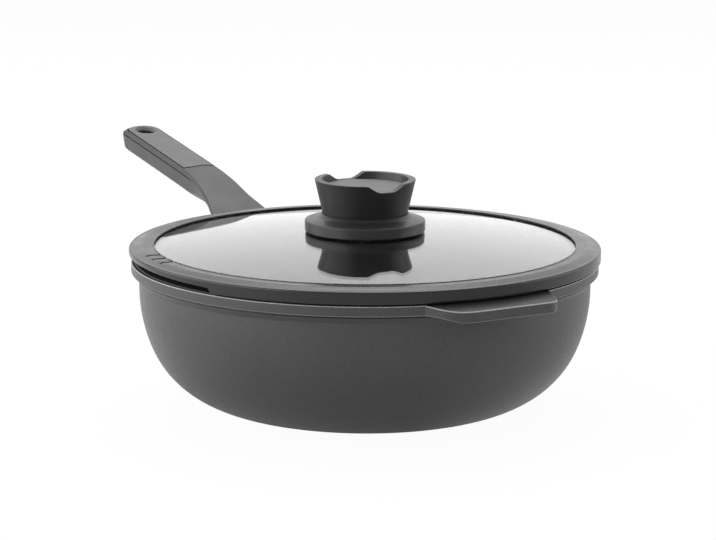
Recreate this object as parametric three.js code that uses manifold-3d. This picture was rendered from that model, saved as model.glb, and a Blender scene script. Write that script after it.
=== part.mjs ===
// Covered wok: a cast pan with a screwed-on handle, and a domed glass lid in a silicone rim with a knob.
// Millimetres, +Z up. The origin is the centre of the base on the hob, and the handle points along +X.
import * as THREE from 'three';
import { mergeVertices } from 'three/addons/utils/BufferGeometryUtils.js';
import Module from 'manifold-3d';

const wasm = await Module();
wasm.setup();

const { degToRad, lerp, smoothstep } = THREE.MathUtils;

// Fits and facets
const GAP = 0.3; // clearance between pieces that touch
const EDGE = 0.8; // small chamfer on cast and moulded edges
const OVERCUT = 5; // how far a cutting solid reaches past what it cuts
const MERGE = 1e-4; // points closer than this are one point
const LARGE_SIDES = 60; // sides of the pan and the lid
const KNOB_SIDES = 36;
const SMALL_SIDES = 24; // sides of screws, washers and holes
const ARC_STEPS = 2; // half the steps on an arc of a profile

// Pan
const WALL_RADIUS = 140.2; // outside of the straight wall
const WALL = 4;
const FLOOR = 5.5;
const BASE_ARC = 60.6; // lower round, from the base to the side
const SIDE_ARC = 94.4; // upper round, from the side to the wall
const ARC_TURN = degToRad(67); // slope where the two rounds meet
const WALL_STRAIGHT = 5.5; // upright wall above the rounds
const RIM_OUT = 4.8; // how far the rim band stands out from the wall
const RIM_BAND = 6.9; // height of the rim band's face
const PLATE_RADIUS = 66;
const PLATE = 1.5; // thickness of the induction plate

// Helper tab, opposite the handle
const TAB_REACH = 12.7; // from the rim band to the tab's straight edge
const TAB_HALF = 25; // half the length of the straight edge
const TAB_ROOT_HALF = 49; // half the length where the tab leaves the rim band
const TAB_TURN = 12; // how long a flank keeps the direction of the straight edge
const TAB_LEAVE = 5; // how far out and inwards a flank leads where it leaves the rim band
const TAB_DROP = 3; // the tab's edge lies this far below the rim
const TAB_EDGE = 6; // thickness of the tab's edge

// Handle
const HANDLE_REACH = 175; // from the rim band to the tip
const BEND_REACH = 52.6; // from the rim band to the bend between neck and grip
const NECK_REACH = 35; // from the rim band to the neck's narrow section
const GRIP_REACH = 75; // from the rim band to the start of the grip's even section
const NECK_RISE = degToRad(24.5);
const GRIP_RISE = degToRad(9.8);
const BEND_EASE = 3; // height by which the bend is rounded off
const ROOT_DROP = 6.3; // the crease starts this far below the pan's rim
const ROOT_GAP = 1; // from the rim band to the handle's root
const CROWN = 0.9; // rise of the rounded top over its shoulders
const CROWN_HALFWAY = 0.75; // share of that rise halfway to a shoulder
const KEEL_ROUND = 1.5; // round along the underside
const TIP_LENGTH = 9; // length of the rounded tip
const TIP_POWER = 5; // how square the tip is in plan, where 2 is an ellipse
const TIP_TURN = degToRad(84); // the rounding ends in a short flat before a full quarter turn
const TIP_DEPTH = 0.93; // share of the depth that is left at the tip
const HANDLE_STEP = 8; // spacing of the handle's sections
const TIP_STEPS = 5;
// Sections of the handle, measured from the crease along its side: half the width at the crease, how far the
// shoulder lies inside the crease and above it, how far the lower edge is tucked in and lies below it, and half
// the width and the depth of the keel.
const ROOT = { half: 26, inset: 0.8, drop: 1, tuck: 0.5, edge: 3.3, keelHalf: 12, keel: 17 };
const NECK = { half: 17, inset: 0.8, drop: 1, tuck: 0.5, edge: 3.3, keelHalf: 6, keel: 11.5 };
const GRIP = { half: 14, inset: 1.5, drop: 3.2, tuck: 1.4, edge: 10, keelHalf: 9.4, keel: 12.9 };
const INSERT = 3; // thickness of the soft pad on the grip
const INSERT_REACH = 80; // from the rim band to the pad's front edge
const INSERT_WAVE = 1.2; // how far the pad's front edge waves in
const INSERT_MARGIN = 0.2; // the pad stays this far inside the shoulder
const HANG_HOLE = 6; // radius of the hang hole
const HANG_BACK = 13; // from the tip to the centre of the hang hole

// Cast lug that carries the handle, and its screw, in a frame that rises with the neck
const LUG_REACH = 26; // from the rim band to the lug's end
const LUG_WIDTH = 16;
const LUG = 6.5; // thickness of the lug
const LUG_DEPTH = 6.2; // the lug's middle lies this far below the crease
const HANDLE_SCREW_REACH = 16; // from the rim band to the screw
const HANDLE_SCREW = 2.3; // radius of the shank
const HANDLE_SCREW_BITE = 4.5; // length of the shank in the lug
const HANDLE_SCREW_HEAD = 4.2; // radius of the head
const HANDLE_SCREW_HEAD_HEIGHT = 1.8;
const HANDLE_SEAT = 2; // handle wall between the lug and the washer
const HANDLE_WASHER = 0.8; // thickness of the washer

// Lid rim, measured from the plane where it rests on the pan
const LID_ANGLE = degToRad(-6.5); // the lid is laid on turned by this much
const LID_OVERHANG = 1.3; // how far the rim reaches out past the pan's rim band
const LID_SIDE = 8; // height of the rim's outer edge
const LID_ROUND = 1.2; // round along the outer edge
const LID_TOP = 15.7; // width of the rim's top, from its outer edge to the inside of the raised lip
const LIP_WIDTH = 2.4;
const LIP_SLOPE = 1.2; // width of the slope outside the lip
const LIP_HEIGHT = 0.4; // rise of the lip over the rim's top
const TOP_RISE = 1.2; // rise of the rim's top from its edge to the lip's slope
const SKIRT_CLEARANCE = 0.9; // from the skirt to the pan's wall
const SKIRT_DEPTH = 5.8;
const SKIRT = 2.4; // thickness of the skirt at its lower edge
const LOWER_LIP = 1.2; // the lip under the glass reaches this far below the rest plane
const SLOT_HALF_ANGLE = degToRad(27.4);
const SLOT_HEIGHT = 3.2; // height of the steam slot above the rest plane
const SLOT_BITE = 0.5; // depth of the steam slot in the skirt
const TICK_ANGLE = degToRad(5); // between the tick grooves that mark the slot
const TICK_LENGTH = 10;
const TICK_WIDTH = 1.4;
const TICK_DEPTH = 0.7;

// Glass
const GLASS = 4; // thickness
const GLASS_SEAT = 8; // height of the glass's top above the rest plane, at the lip
const GLASS_BITE = 2.6; // how far the glass's edge reaches into the rim's groove
const GLASS_DOME = 985; // radius of the dome
const GLASS_HOLE = 5.5; // radius of the centre hole
const DOME_STEPS = 4;

// Knob, measured from the top of the dome
const FLANGE_RADIUS = 37.4;
const FLANGE_LIFT = 0.1; // height of the flange's lower edge
const FLANGE_SIDE = 6.8; // height of the flange's side
const FLANGE_CONE = 2.8; // rise of the flange's top to the neck
const FLANGE_WALL = 3.7; // width of the flange's lower edge
const FLANGE_RECESS = 2.1; // depth of the recess that holds the upper gasket
const SPIGOT = 3.3; // height of the flange's spigot in the grip
const KNOB_NECK = 26.2; // radius of the grip at its foot
const KNOB_TOP = 31.4; // radius of the grip at its top
const KNOB_HEIGHT = 22.3; // height of the grip
const KNOB_RIM = 4.4; // width of the rim round the dish
const DISH_DEPTH = 4.3;
const DISH_TAPER = 1; // how far the dish narrows to its floor
const PAD = 1.9; // thickness of the pad on the dish floor
const KNOB_CAVITY = 20; // radius of the hollow in the grip
const KNOB_CEILING = 3.8; // thickness over the hollow
const BOSS_RADIUS = 7.6;
const NOTCH_BOTTOM = 12.5; // width of the spoon notches at the dish floor
const NOTCH_TOP = 25; // width of the spoon notches at the top
const NOTCH_TURN = 93; // degrees from the steam slot's middle to the line of the notches
const THREAD_OUTER = 4.6; // radius of the brass thread insert
const THREAD_LENGTH = 13;
const KNOB_SCREW = 3; // radius of the shank
const KNOB_SCREW_BITE = 10; // length of the shank in the thread insert
const KNOB_SCREW_HEAD = 5.6;
const KNOB_SCREW_HEAD_HEIGHT = 3;
const GASKET_RADIUS = 12; // lower gasket
const GASKET = 1.7;
const COLLAR = 1.6; // wall of the lower gasket's collar in the glass's hole
const KNOB_WASHER_RADIUS = 10;
const KNOB_WASHER = 1;
const CROSS_LENGTH = 1.2; // length of the screws' cross slots, as a share of the head's radius
const CROSS_WIDTH = 0.24; // width of the cross slots, as a share of the head's radius
const CROSS_DEPTH = 0.6; // depth of the cross slots, as a share of the head's height

// Sizes worked out from the driving ones
const roundTop = BASE_ARC * (1 - Math.cos(ARC_TURN)) + SIDE_ARC * Math.cos(ARC_TURN);
const bandBottom = roundTop + WALL_STRAIGHT + RIM_OUT;
const panTop = bandBottom + RIM_BAND;
const rimRadius = WALL_RADIUS + RIM_OUT;
const lidRadius = rimRadius + LID_OVERHANG;
const lipRadius = lidRadius - LID_TOP;
const mouthRadius = WALL_RADIUS - WALL;
const sideCentre = WALL_RADIUS - SIDE_ARC;
const baseRadius = sideCentre + (SIDE_ARC - BASE_ARC) * Math.sin(ARC_TURN);
const tipX = rimRadius + HANDLE_REACH;
const tipStart = tipX - TIP_LENGTH;
const restPlane = panTop + GAP;
const lipGlass = restPlane + GLASS_SEAT;
const glassRadius = lipRadius + GLASS_BITE;
const domeTop = lipGlass + GLASS_DOME - Math.sqrt(GLASS_DOME ** 2 - lipRadius ** 2);
const flangeBottom = domeTop + FLANGE_LIFT;
const flangeTop = flangeBottom + FLANGE_SIDE + FLANGE_CONE;
const gripBottom = flangeTop + GAP;
const gripTop = gripBottom + KNOB_HEIGHT;
const dishFloor = gripTop - DISH_DEPTH;
const padRadius = KNOB_TOP - KNOB_RIM - DISH_TAPER - GAP;
const threadBottom = flangeBottom + FLANGE_RECESS + GAP;
const gasketTop = domeTop - GLASS - GAP;
const washerTop = gasketTop - GASKET - GAP;
const knobHeadTop = washerTop - KNOB_WASHER - GAP;
const clearTop = 2 * panTop; // a height above every piece

// Hands a closed geometry to the solid library, with its shared points merged.
function solid(geometry) {
  geometry.deleteAttribute('normal');
  geometry.deleteAttribute('uv');
  const merged = mergeVertices(geometry, MERGE);
  const corners = merged.index.array;
  const triangles = [];
  for (let i = 0; i < corners.length; i += 3) {
    const [a, b, c] = corners.slice(i, i + 3);
    if (a !== b && b !== c && c !== a) {
      triangles.push(a, b, c);
    }
  }
  const mesh = new wasm.Mesh({
    numProp: 3,
    vertProperties: Float32Array.from(merged.attributes.position.array),
    triVerts: Uint32Array.from(triangles),
  });
  return new wasm.Manifold(mesh);
}

// A solid as a three.js geometry.
function geometryOf(shape) {
  const mesh = shape.getMesh();
  const geometry = new THREE.BufferGeometry();
  geometry.setAttribute('position', new THREE.BufferAttribute(mesh.vertProperties, 3));
  geometry.setIndex(new THREE.BufferAttribute(mesh.triVerts, 1));
  geometry.computeVertexNormals();
  return geometry;
}

// Turns a profile about Z. It runs anticlockwise with the radius to the right, and starts and ends on the
// axis or is closed on itself here.
function turned(profile, sides) {
  const points = profile.map(([radius, height]) => new THREE.Vector2(radius, height));
  if (points[0].x > 0) {
    points.push(points[0].clone());
  }
  const geometry = new THREE.LatheGeometry(points, sides);
  geometry.rotateX(Math.PI / 2);
  return solid(geometry);
}

function pairs(path) {
  return path.getPoints(ARC_STEPS).map((point) => [point.x, point.y]);
}

// A round rod along Z, from one height to another.
function rod(radius, bottom, top, sides) {
  return turned([[0, bottom], [radius, bottom], [radius, top], [0, top]], sides);
}

// A ring along Z.
function ring(inner, outer, bottom, top, sides) {
  return turned([[inner, bottom], [outer, bottom], [outer, top], [inner, top]], sides);
}

// A plan outline raised from one height to another.
function prism(shape, bottom, top) {
  const options = { depth: top - bottom, bevelEnabled: false, curveSegments: ARC_STEPS * 2 };
  const geometry = new THREE.ExtrudeGeometry(shape, options);
  geometry.translate(0, 0, bottom);
  return solid(geometry);
}

// A side outline in X and Z, drawn out along Y to both sides.
function slab(points, halfWidth) {
  const shape = new THREE.Shape(points.map(([x, z]) => new THREE.Vector2(x, z)));
  const geometry = new THREE.ExtrudeGeometry(shape, { depth: 2 * halfWidth, bevelEnabled: false });
  geometry.rotateX(Math.PI / 2);
  geometry.translate(0, halfWidth, 0);
  return solid(geometry);
}

// A box given by its size and its centre.
function block(size, centre) {
  const geometry = new THREE.BoxGeometry(...size);
  geometry.translate(...centre);
  return solid(geometry);
}

// A sector of a ring along Z, centred on +Y.
function sector(inner, outer, halfAngle, bottom, top) {
  const shape = new THREE.Shape();
  shape.absarc(0, 0, outer, Math.PI / 2 - halfAngle, Math.PI / 2 + halfAngle, false);
  shape.absarc(0, 0, inner, Math.PI / 2 + halfAngle, Math.PI / 2 - halfAngle, true);
  return prism(shape, bottom, top);
}

function mesh(name, shape, material) {
  const piece = new THREE.Mesh(geometryOf(shape), material);
  piece.name = name;
  return piece;
}

function finish(color, roughness, metalness) {
  return new THREE.MeshStandardMaterial({ color, roughness, metalness });
}

const coating = finish(0x5a5b5d, 0.7, 0.2);
const steel = finish(0xb9bcc0, 0.35, 1);
const brass = finish(0xb08d4a, 0.35, 1);
const moulding = finish(0x55565a, 0.6, 0);
const darkMoulding = finish(0x2b2b2d, 0.55, 0);
const softPad = finish(0x8a8a8c, 0.85, 0);
const silicone = finish(0x6c6c6f, 0.75, 0);
const blackRubber = finish(0x141415, 0.8, 0);
const glassFinish = new THREE.MeshStandardMaterial({
  color: 0xd8dde0,
  roughness: 0.03,
  metalness: 0,
  transparent: true,
  opacity: 0.35,
});

// Pan

function panOutside() {
  const outline = new THREE.Path();
  outline.moveTo(0, 0);
  outline.lineTo(baseRadius, 0);
  outline.absarc(baseRadius, BASE_ARC, BASE_ARC, -Math.PI / 2, ARC_TURN - Math.PI / 2, false);
  outline.absarc(sideCentre, roundTop, SIDE_ARC, ARC_TURN - Math.PI / 2, 0, false);
  outline.lineTo(WALL_RADIUS, bandBottom - RIM_OUT);
  outline.lineTo(rimRadius, bandBottom);
  outline.lineTo(rimRadius, panTop - EDGE);
  outline.lineTo(rimRadius - EDGE, panTop);
  outline.lineTo(0, panTop);
  return turned(pairs(outline), LARGE_SIDES);
}

// The space inside the bowl. Its upper round keeps the wall's thickness, and its lower round meets the floor.
function panInside() {
  const upperArc = SIDE_ARC - WALL;
  const meetHeight = roundTop - upperArc * Math.cos(ARC_TURN);
  const lowerArc = (meetHeight - FLOOR) / (1 - Math.cos(ARC_TURN));
  const lowerCentre = sideCentre + (upperArc - lowerArc) * Math.sin(ARC_TURN);
  const outline = new THREE.Path();
  outline.moveTo(0, FLOOR);
  outline.lineTo(lowerCentre, FLOOR);
  outline.absarc(lowerCentre, FLOOR + lowerArc, lowerArc, -Math.PI / 2, ARC_TURN - Math.PI / 2, false);
  outline.absarc(sideCentre, roundTop, upperArc, ARC_TURN - Math.PI / 2, 0, false);
  outline.lineTo(mouthRadius, panTop - EDGE);
  outline.lineTo(mouthRadius + EDGE, panTop);
  outline.lineTo(mouthRadius + EDGE, panTop + OVERCUT);
  outline.lineTo(0, panTop + OVERCUT);
  return turned(pairs(outline), LARGE_SIDES);
}

// The cast tab: a plan outline whose section slopes down from the rim to a straight edge.
function helperTab() {
  const edgeX = -(rimRadius + TAB_REACH);
  const rootX = -Math.sqrt(rimRadius ** 2 - TAB_ROOT_HALF ** 2);
  const edgeTop = panTop - TAB_DROP;
  const leaveX = rootX - TAB_LEAVE;
  const leaveY = TAB_ROOT_HALF - TAB_LEAVE;
  const turnY = TAB_HALF + TAB_TURN;
  const plan = new THREE.Shape();
  plan.moveTo(rootX, TAB_ROOT_HALF);
  plan.bezierCurveTo(leaveX, leaveY, edgeX, turnY, edgeX, TAB_HALF);
  plan.lineTo(edgeX, -TAB_HALF);
  plan.bezierCurveTo(edgeX, -turnY, leaveX, -leaveY, rootX, -TAB_ROOT_HALF);
  plan.closePath();
  const section = [
    [rootX, panTop - EDGE],
    [edgeX + EDGE, edgeTop],
    [edgeX, edgeTop - EDGE],
    [edgeX, edgeTop - TAB_EDGE + EDGE],
    [edgeX + EDGE, edgeTop - TAB_EDGE],
    [rootX, bandBottom - RIM_OUT],
  ];
  const across = slab(section, TAB_ROOT_HALF + OVERCUT);
  return prism(plan, bandBottom - RIM_OUT - OVERCUT, panTop).intersect(across);
}

// The neck's frame: its origin is on the crease above the rim band, and its X rises with the neck.
const creaseStart = panTop - ROOT_DROP;
const neckFrame = new THREE.Matrix4()
  .makeRotationY(-NECK_RISE)
  .setPosition(rimRadius, 0, creaseStart);
const washerSeat = -(LUG_DEPTH + LUG / 2 + GAP + HANDLE_SEAT);

function inNeckFrame(shape) {
  return solid(geometryOf(shape).applyMatrix4(neckFrame));
}

// The lug runs out from the middle of the pan's wall. The handle's socket is the same shape, larger by the gap.
function lug(grow) {
  const start = -(RIM_OUT + WALL / 2) / Math.cos(NECK_RISE);
  const end = LUG_REACH / Math.cos(NECK_RISE) + grow;
  const size = [end - start, LUG_WIDTH + 2 * grow, LUG + 2 * grow];
  return inNeckFrame(block(size, [(start + end) / 2, 0, -LUG_DEPTH]));
}

// A hole along the handle screw's axis.
function handleScrewHole(radius, bottom, top) {
  const hole = rod(radius, bottom, top, SMALL_SIDES).translate(HANDLE_SCREW_REACH / Math.cos(NECK_RISE), 0, 0);
  return inNeckFrame(hole);
}

function wokBody() {
  const shankTop = HANDLE_SCREW_BITE - LUG_DEPTH - LUG / 2 + GAP;
  const threadHole = handleScrewHole(HANDLE_SCREW + GAP, -LUG_DEPTH - LUG, shankTop);
  const plateRecess = rod(PLATE_RADIUS + GAP, -OVERCUT, PLATE + GAP, LARGE_SIDES);
  return panOutside()
    .add(helperTab())
    .add(lug(0))
    .subtract(panInside())
    .subtract(plateRecess)
    .subtract(threadHole);
}

function inductionPlate() {
  return rod(PLATE_RADIUS, 0, PLATE, LARGE_SIDES);
}

// Handle

// Height of the crease along the handle's side, at a distance from the pan's axis.
function creaseHeight(x) {
  const neck = creaseStart + Math.tan(NECK_RISE) * (x - rimRadius);
  const bend = creaseStart + Math.tan(NECK_RISE) * BEND_REACH;
  const grip = bend + Math.tan(GRIP_RISE) * (x - rimRadius - BEND_REACH);
  return (neck + grip - Math.hypot(neck - grip, BEND_EASE)) / 2;
}

function blend(from, to, share) {
  const sizes = Object.keys(from).map((key) => [key, lerp(from[key], to[key], share)]);
  return Object.fromEntries(sizes);
}

// The handle's section at a distance from the pan's axis, blended from the root to the neck and on to the grip.
function sectionAt(x) {
  const reach = x - rimRadius;
  if (reach < NECK_REACH) {
    const share = reach / NECK_REACH;
    const section = blend(ROOT, NECK, smoothstep(share, 0, 1));
    section.half = lerp(ROOT.half, NECK.half, share);
    return section;
  }
  const share = Math.min(1, (reach - NECK_REACH) / (GRIP_REACH - NECK_REACH));
  const section = blend(NECK, GRIP, smoothstep(share, 0, 1));
  section.half = lerp(GRIP.half, NECK.half, (1 - share) ** 2);
  return section;
}

// One side of a section from the top middle to the bottom middle, as points in Y and Z.
function halfSection(x, widthShare, depthShare) {
  const { half, inset, drop, tuck, edge, keelHalf, keel } = sectionAt(x);
  const shoulder = half - inset;
  const outline = [
    [0, drop + CROWN],
    [shoulder / 2, drop + CROWN * CROWN_HALFWAY],
    [shoulder, drop],
    [half, 0],
    [half - tuck, -edge * depthShare],
    [keelHalf + KEEL_ROUND, (KEEL_ROUND - keel) * depthShare],
    [keelHalf, -keel * depthShare],
    [0, -keel * depthShare],
  ];
  return outline.map(([y, z]) => [y * widthShare, z]);
}

function ringAt(x, widthShare, depthShare) {
  const right = halfSection(x, widthShare, depthShare);
  const left = right.slice(1, -1).reverse();
  const loop = [...right, ...left.map(([y, z]) => [-y, z])];
  const height = creaseHeight(x);
  return loop.map(([y, z]) => [x, y, height + z]);
}

// A closed skin over rings of points that follow each other along X, with a flat cap on each end.
function lofted(rings) {
  const count = rings[0].length;
  const points = rings.flat();
  const triangles = [];
  for (let row = 0; row + 1 < rings.length; row += 1) {
    for (let i = 0; i < count; i += 1) {
      const next = (i + 1) % count;
      const a = row * count + i;
      const b = row * count + next;
      triangles.push(a, a + count, b, b, a + count, b + count);
    }
  }
  const last = (rings.length - 1) * count;
  for (let i = 1; i + 1 < count; i += 1) {
    triangles.push(0, i, i + 1);
    triangles.push(last, last + i + 1, last + i);
  }
  const geometry = new THREE.BufferGeometry();
  geometry.setAttribute('position', new THREE.Float32BufferAttribute(points.flat(), 3));
  geometry.setIndex(triangles);
  return solid(geometry);
}

// The tip's plan as pairs of shares: along the tip's length, and across the handle's width.
function tipPlan() {
  const plan = [];
  for (let i = 0; i <= TIP_STEPS; i += 1) {
    const turn = (i / TIP_STEPS) * TIP_TURN;
    plan.push([Math.sin(turn) ** (2 / TIP_POWER), Math.cos(turn) ** (2 / TIP_POWER)]);
  }
  return plan;
}

// The whole outside of the handle, which starts inside the rim band and ends in a rounded tip.
function handleOutside() {
  const start = mouthRadius;
  const steps = Math.round((tipStart - start) / HANDLE_STEP);
  const rings = [];
  for (let i = 0; i < steps; i += 1) {
    rings.push(ringAt(lerp(start, tipStart, i / steps), 1, 1));
  }
  for (const [along, across] of tipPlan()) {
    const depthShare = lerp(TIP_DEPTH, 1, across);
    rings.push(ringAt(tipStart + TIP_LENGTH * along, across, depthShare));
  }
  return lofted(rings);
}

// Plan of the soft pad: straight sides, an end that follows the tip and a front edge that waves in.
function insertPlan(grow) {
  const inside = GRIP.inset + INSERT_MARGIN - grow;
  const half = GRIP.half - inside;
  const front = rimRadius + INSERT_REACH - grow;
  const end = tipPlan().map(([along, across]) => [tipStart + (TIP_LENGTH - inside) * along, half * across]);
  const plan = new THREE.Shape();
  plan.moveTo(front, -half);
  for (const [x, y] of end) {
    plan.lineTo(x, -y);
  }
  for (const [x, y] of end.reverse()) {
    plan.lineTo(x, y);
  }
  plan.lineTo(front, half);
  plan.quadraticCurveTo(front - INSERT_WAVE, half / 2, front, 0);
  plan.quadraticCurveTo(front + INSERT_WAVE, -half / 2, front, -half);
  return plan;
}

const handleShape = handleOutside();
const hangHole = rod(HANG_HOLE, 0, clearTop, SMALL_SIDES).translate(tipX - HANG_BACK, 0, 0);

function handleTopInsert() {
  const under = handleShape.translate(0, 0, -INSERT);
  return prism(insertPlan(0), 0, clearTop)
    .intersect(handleShape)
    .subtract(under)
    .subtract(hangHole);
}

function handleBody() {
  const under = handleShape.translate(0, 0, -INSERT - GAP);
  const pocket = prism(insertPlan(GAP), 0, clearTop).subtract(under);
  const root = rod(rimRadius + ROOT_GAP, 0, clearTop, LARGE_SIDES);
  const counterbore = handleScrewHole(HANDLE_SCREW_HEAD + GAP, -ROOT.keel - OVERCUT, washerSeat);
  const shankHole = handleScrewHole(HANDLE_SCREW + GAP, washerSeat - OVERCUT, -LUG_DEPTH);
  return handleShape
    .subtract(pocket)
    .subtract(root)
    .subtract(lug(GAP))
    .subtract(hangHole)
    .subtract(counterbore)
    .subtract(shankHole);
}

// A screw along Z with a round head at its lower end, from the head's top to the shank's end.
function screw(headRadius, headHeight, shankRadius, headTop, shankEnd) {
  const headBottom = headTop - headHeight;
  const body = turned(
    [
      [0, headBottom],
      [headRadius - EDGE, headBottom],
      [headRadius, headBottom + EDGE],
      [headRadius, headTop],
      [shankRadius, headTop],
      [shankRadius, shankEnd - EDGE],
      [shankRadius - EDGE, shankEnd],
      [0, shankEnd],
    ],
    SMALL_SIDES,
  );
  const long = headRadius * CROSS_LENGTH;
  const wide = headRadius * CROSS_WIDTH;
  const deep = headHeight * CROSS_DEPTH * 2;
  return body
    .subtract(block([long, wide, deep], [0, 0, headBottom]))
    .subtract(block([wide, long, deep], [0, 0, headBottom]));
}

// Lid

// Height of the glass's top at a distance from the axis.
function domeHeight(radius) {
  return domeTop - GLASS_DOME + Math.sqrt(GLASS_DOME ** 2 - radius ** 2);
}

// Points on the dome from one radius to another, lifted by some height.
function domeLine(from, to, lift) {
  const line = [];
  for (let i = 0; i <= DOME_STEPS; i += 1) {
    const radius = lerp(from, to, i / DOME_STEPS);
    line.push([radius, domeHeight(radius) + lift]);
  }
  return line;
}

function lidGlass() {
  const under = domeLine(GLASS_HOLE, glassRadius, -GLASS);
  const over = domeLine(glassRadius, GLASS_HOLE, 0);
  return turned([...under, ...over], LARGE_SIDES);
}

// The rim's section: a skirt in the pan's mouth, a flange on its rim, and a groove that holds the glass.
function rimProfile() {
  const skirtOuter = mouthRadius - SKIRT_CLEARANCE;
  const skirtBottom = restPlane - SKIRT_DEPTH;
  const sideTop = restPlane + LID_SIDE;
  const slopeFoot = lipRadius + LIP_WIDTH + LIP_SLOPE;
  const lipTop = sideTop + TOP_RISE + LIP_HEIGHT;
  const groove = glassRadius + GAP;
  return [
    [skirtOuter - SKIRT, skirtBottom],
    [skirtOuter - EDGE, skirtBottom],
    [skirtOuter, skirtBottom + EDGE],
    [skirtOuter, restPlane],
    [lidRadius - LID_ROUND, restPlane],
    [lidRadius, restPlane + LID_ROUND],
    [lidRadius, sideTop - LID_ROUND],
    [lidRadius - LID_ROUND, sideTop],
    [slopeFoot, sideTop + TOP_RISE],
    [lipRadius + LIP_WIDTH, lipTop],
    [lipRadius + EDGE, lipTop],
    [lipRadius, lipTop - EDGE],
    [lipRadius, domeHeight(lipRadius) + GAP],
    [groove, domeHeight(groove) + GAP],
    [groove, domeHeight(groove) - GLASS - GAP],
    [lipRadius - EDGE, domeHeight(lipRadius - EDGE) - GLASS - GAP],
    [lipRadius - EDGE, restPlane],
  ];
}

function tickGroove(angle) {
  const top = restPlane + LID_SIDE + TOP_RISE;
  const size = [TICK_WIDTH, TICK_LENGTH + OVERCUT, 2 * (LIP_HEIGHT + TICK_DEPTH)];
  const groove = new THREE.BoxGeometry(...size);
  groove.translate(0, lipRadius + (TICK_LENGTH - OVERCUT) / 2, top + LIP_HEIGHT);
  groove.rotateZ(angle);
  return solid(groove);
}

function lidRim() {
  const slotInner = mouthRadius - SKIRT_CLEARANCE - SLOT_BITE;
  const far = lidRadius + OVERCUT;
  const lipBottom = restPlane - LOWER_LIP;
  const slot = sector(slotInner, far, SLOT_HALF_ANGLE, lipBottom - EDGE, restPlane + SLOT_HEIGHT);
  const gapInner = lipRadius - EDGE - OVERCUT;
  const skirtGap = sector(gapInner, far, SLOT_HALF_ANGLE, lipBottom - SKIRT_DEPTH, lipBottom);
  let rim = turned(rimProfile(), LARGE_SIDES).subtract(slot).subtract(skirtGap);
  for (const place of [-1, 0, 1]) {
    rim = rim.subtract(tickGroove(place * TICK_ANGLE));
  }
  return rim;
}

// Knob

function knobFlange() {
  const inner = BOSS_RADIUS + GAP;
  const under = flangeBottom + FLANGE_RECESS;
  const sideTop = flangeBottom + FLANGE_SIDE;
  const spigot = KNOB_CAVITY - GAP;
  return turned(
    [
      [inner, under],
      [FLANGE_RADIUS - FLANGE_WALL, under],
      [FLANGE_RADIUS - FLANGE_WALL, flangeBottom],
      [FLANGE_RADIUS - EDGE, flangeBottom],
      [FLANGE_RADIUS, flangeBottom + EDGE],
      [FLANGE_RADIUS, sideTop - EDGE],
      [FLANGE_RADIUS - EDGE, sideTop],
      [KNOB_NECK, flangeTop],
      [spigot, flangeTop],
      [spigot, flangeTop + SPIGOT],
      [inner, flangeTop + SPIGOT],
    ],
    KNOB_SIDES,
  );
}

// The grip: an upturned cone that is hollow below, with a boss for the thread and a dish cut by two notches.
function knobGrip() {
  const bore = THREAD_OUTER + GAP;
  const boreTop = threadBottom + THREAD_LENGTH + GAP;
  const padSeat = dishFloor - PAD - GAP;
  const ceiling = padSeat - KNOB_CEILING;
  const dishTop = KNOB_TOP - KNOB_RIM;
  const body = turned(
    [
      [0, boreTop],
      [bore, boreTop],
      [bore, threadBottom],
      [BOSS_RADIUS, threadBottom],
      [BOSS_RADIUS, ceiling],
      [KNOB_CAVITY, ceiling],
      [KNOB_CAVITY, gripBottom],
      [KNOB_NECK, gripBottom],
      [KNOB_TOP, gripTop - EDGE],
      [KNOB_TOP - EDGE, gripTop],
      [dishTop, gripTop],
      [dishTop - DISH_TAPER, dishFloor],
      [dishTop - DISH_TAPER, padSeat],
      [0, padSeat],
    ],
    KNOB_SIDES,
  );
  const slope = (NOTCH_TOP - NOTCH_BOTTOM) / 2 / DISH_DEPTH;
  const above = NOTCH_TOP / 2 + slope * OVERCUT;
  const notch = slab(
    [
      [-NOTCH_BOTTOM / 2, dishFloor],
      [NOTCH_BOTTOM / 2, dishFloor],
      [above, gripTop + OVERCUT],
      [-above, gripTop + OVERCUT],
    ],
    KNOB_TOP + OVERCUT,
  );
  return body.subtract(notch.rotate(0, 0, NOTCH_TURN));
}

function knobTopInsert() {
  return turned(
    [
      [0, dishFloor - PAD],
      [padRadius, dishFloor - PAD],
      [padRadius, dishFloor - EDGE / 2],
      [padRadius - EDGE, dishFloor],
      [0, dishFloor],
    ],
    KNOB_SIDES,
  );
}

function knobThreadInsert() {
  return ring(KNOB_SCREW + GAP, THREAD_OUTER, threadBottom, threadBottom + THREAD_LENGTH, SMALL_SIDES);
}

function knobGasketUpper() {
  const outer = FLANGE_RADIUS - FLANGE_WALL - GAP;
  const top = flangeBottom + FLANGE_RECESS - GAP;
  return turned(
    [
      [GLASS_HOLE, domeHeight(GLASS_HOLE) + GAP],
      [outer, domeHeight(outer) + GAP],
      [outer, top],
      [GLASS_HOLE, top],
    ],
    KNOB_SIDES,
  );
}

// The lower gasket's collar stands in the glass's hole and keeps the screw off the glass.
function knobGasketLower() {
  const collar = GLASS_HOLE - GAP;
  const inner = collar - COLLAR;
  const rimTop = domeHeight(GASKET_RADIUS) - GLASS - GAP;
  return turned(
    [
      [inner, gasketTop - GASKET],
      [GASKET_RADIUS, gasketTop - GASKET],
      [GASKET_RADIUS, rimTop],
      [collar, rimTop],
      [collar, domeTop - GAP],
      [inner, domeTop - GAP],
    ],
    SMALL_SIDES,
  );
}

function knobWasher() {
  return ring(KNOB_SCREW + GAP, KNOB_WASHER_RADIUS, washerTop - KNOB_WASHER, washerTop, SMALL_SIDES);
}

// Assembly

const pan = new THREE.Group();
pan.add(mesh('wok_body', wokBody(), coating));
pan.add(mesh('induction_plate', inductionPlate(), steel));
pan.add(mesh('handle_body', handleBody(), moulding));
pan.add(mesh('handle_top_insert', handleTopInsert(), softPad));

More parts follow.
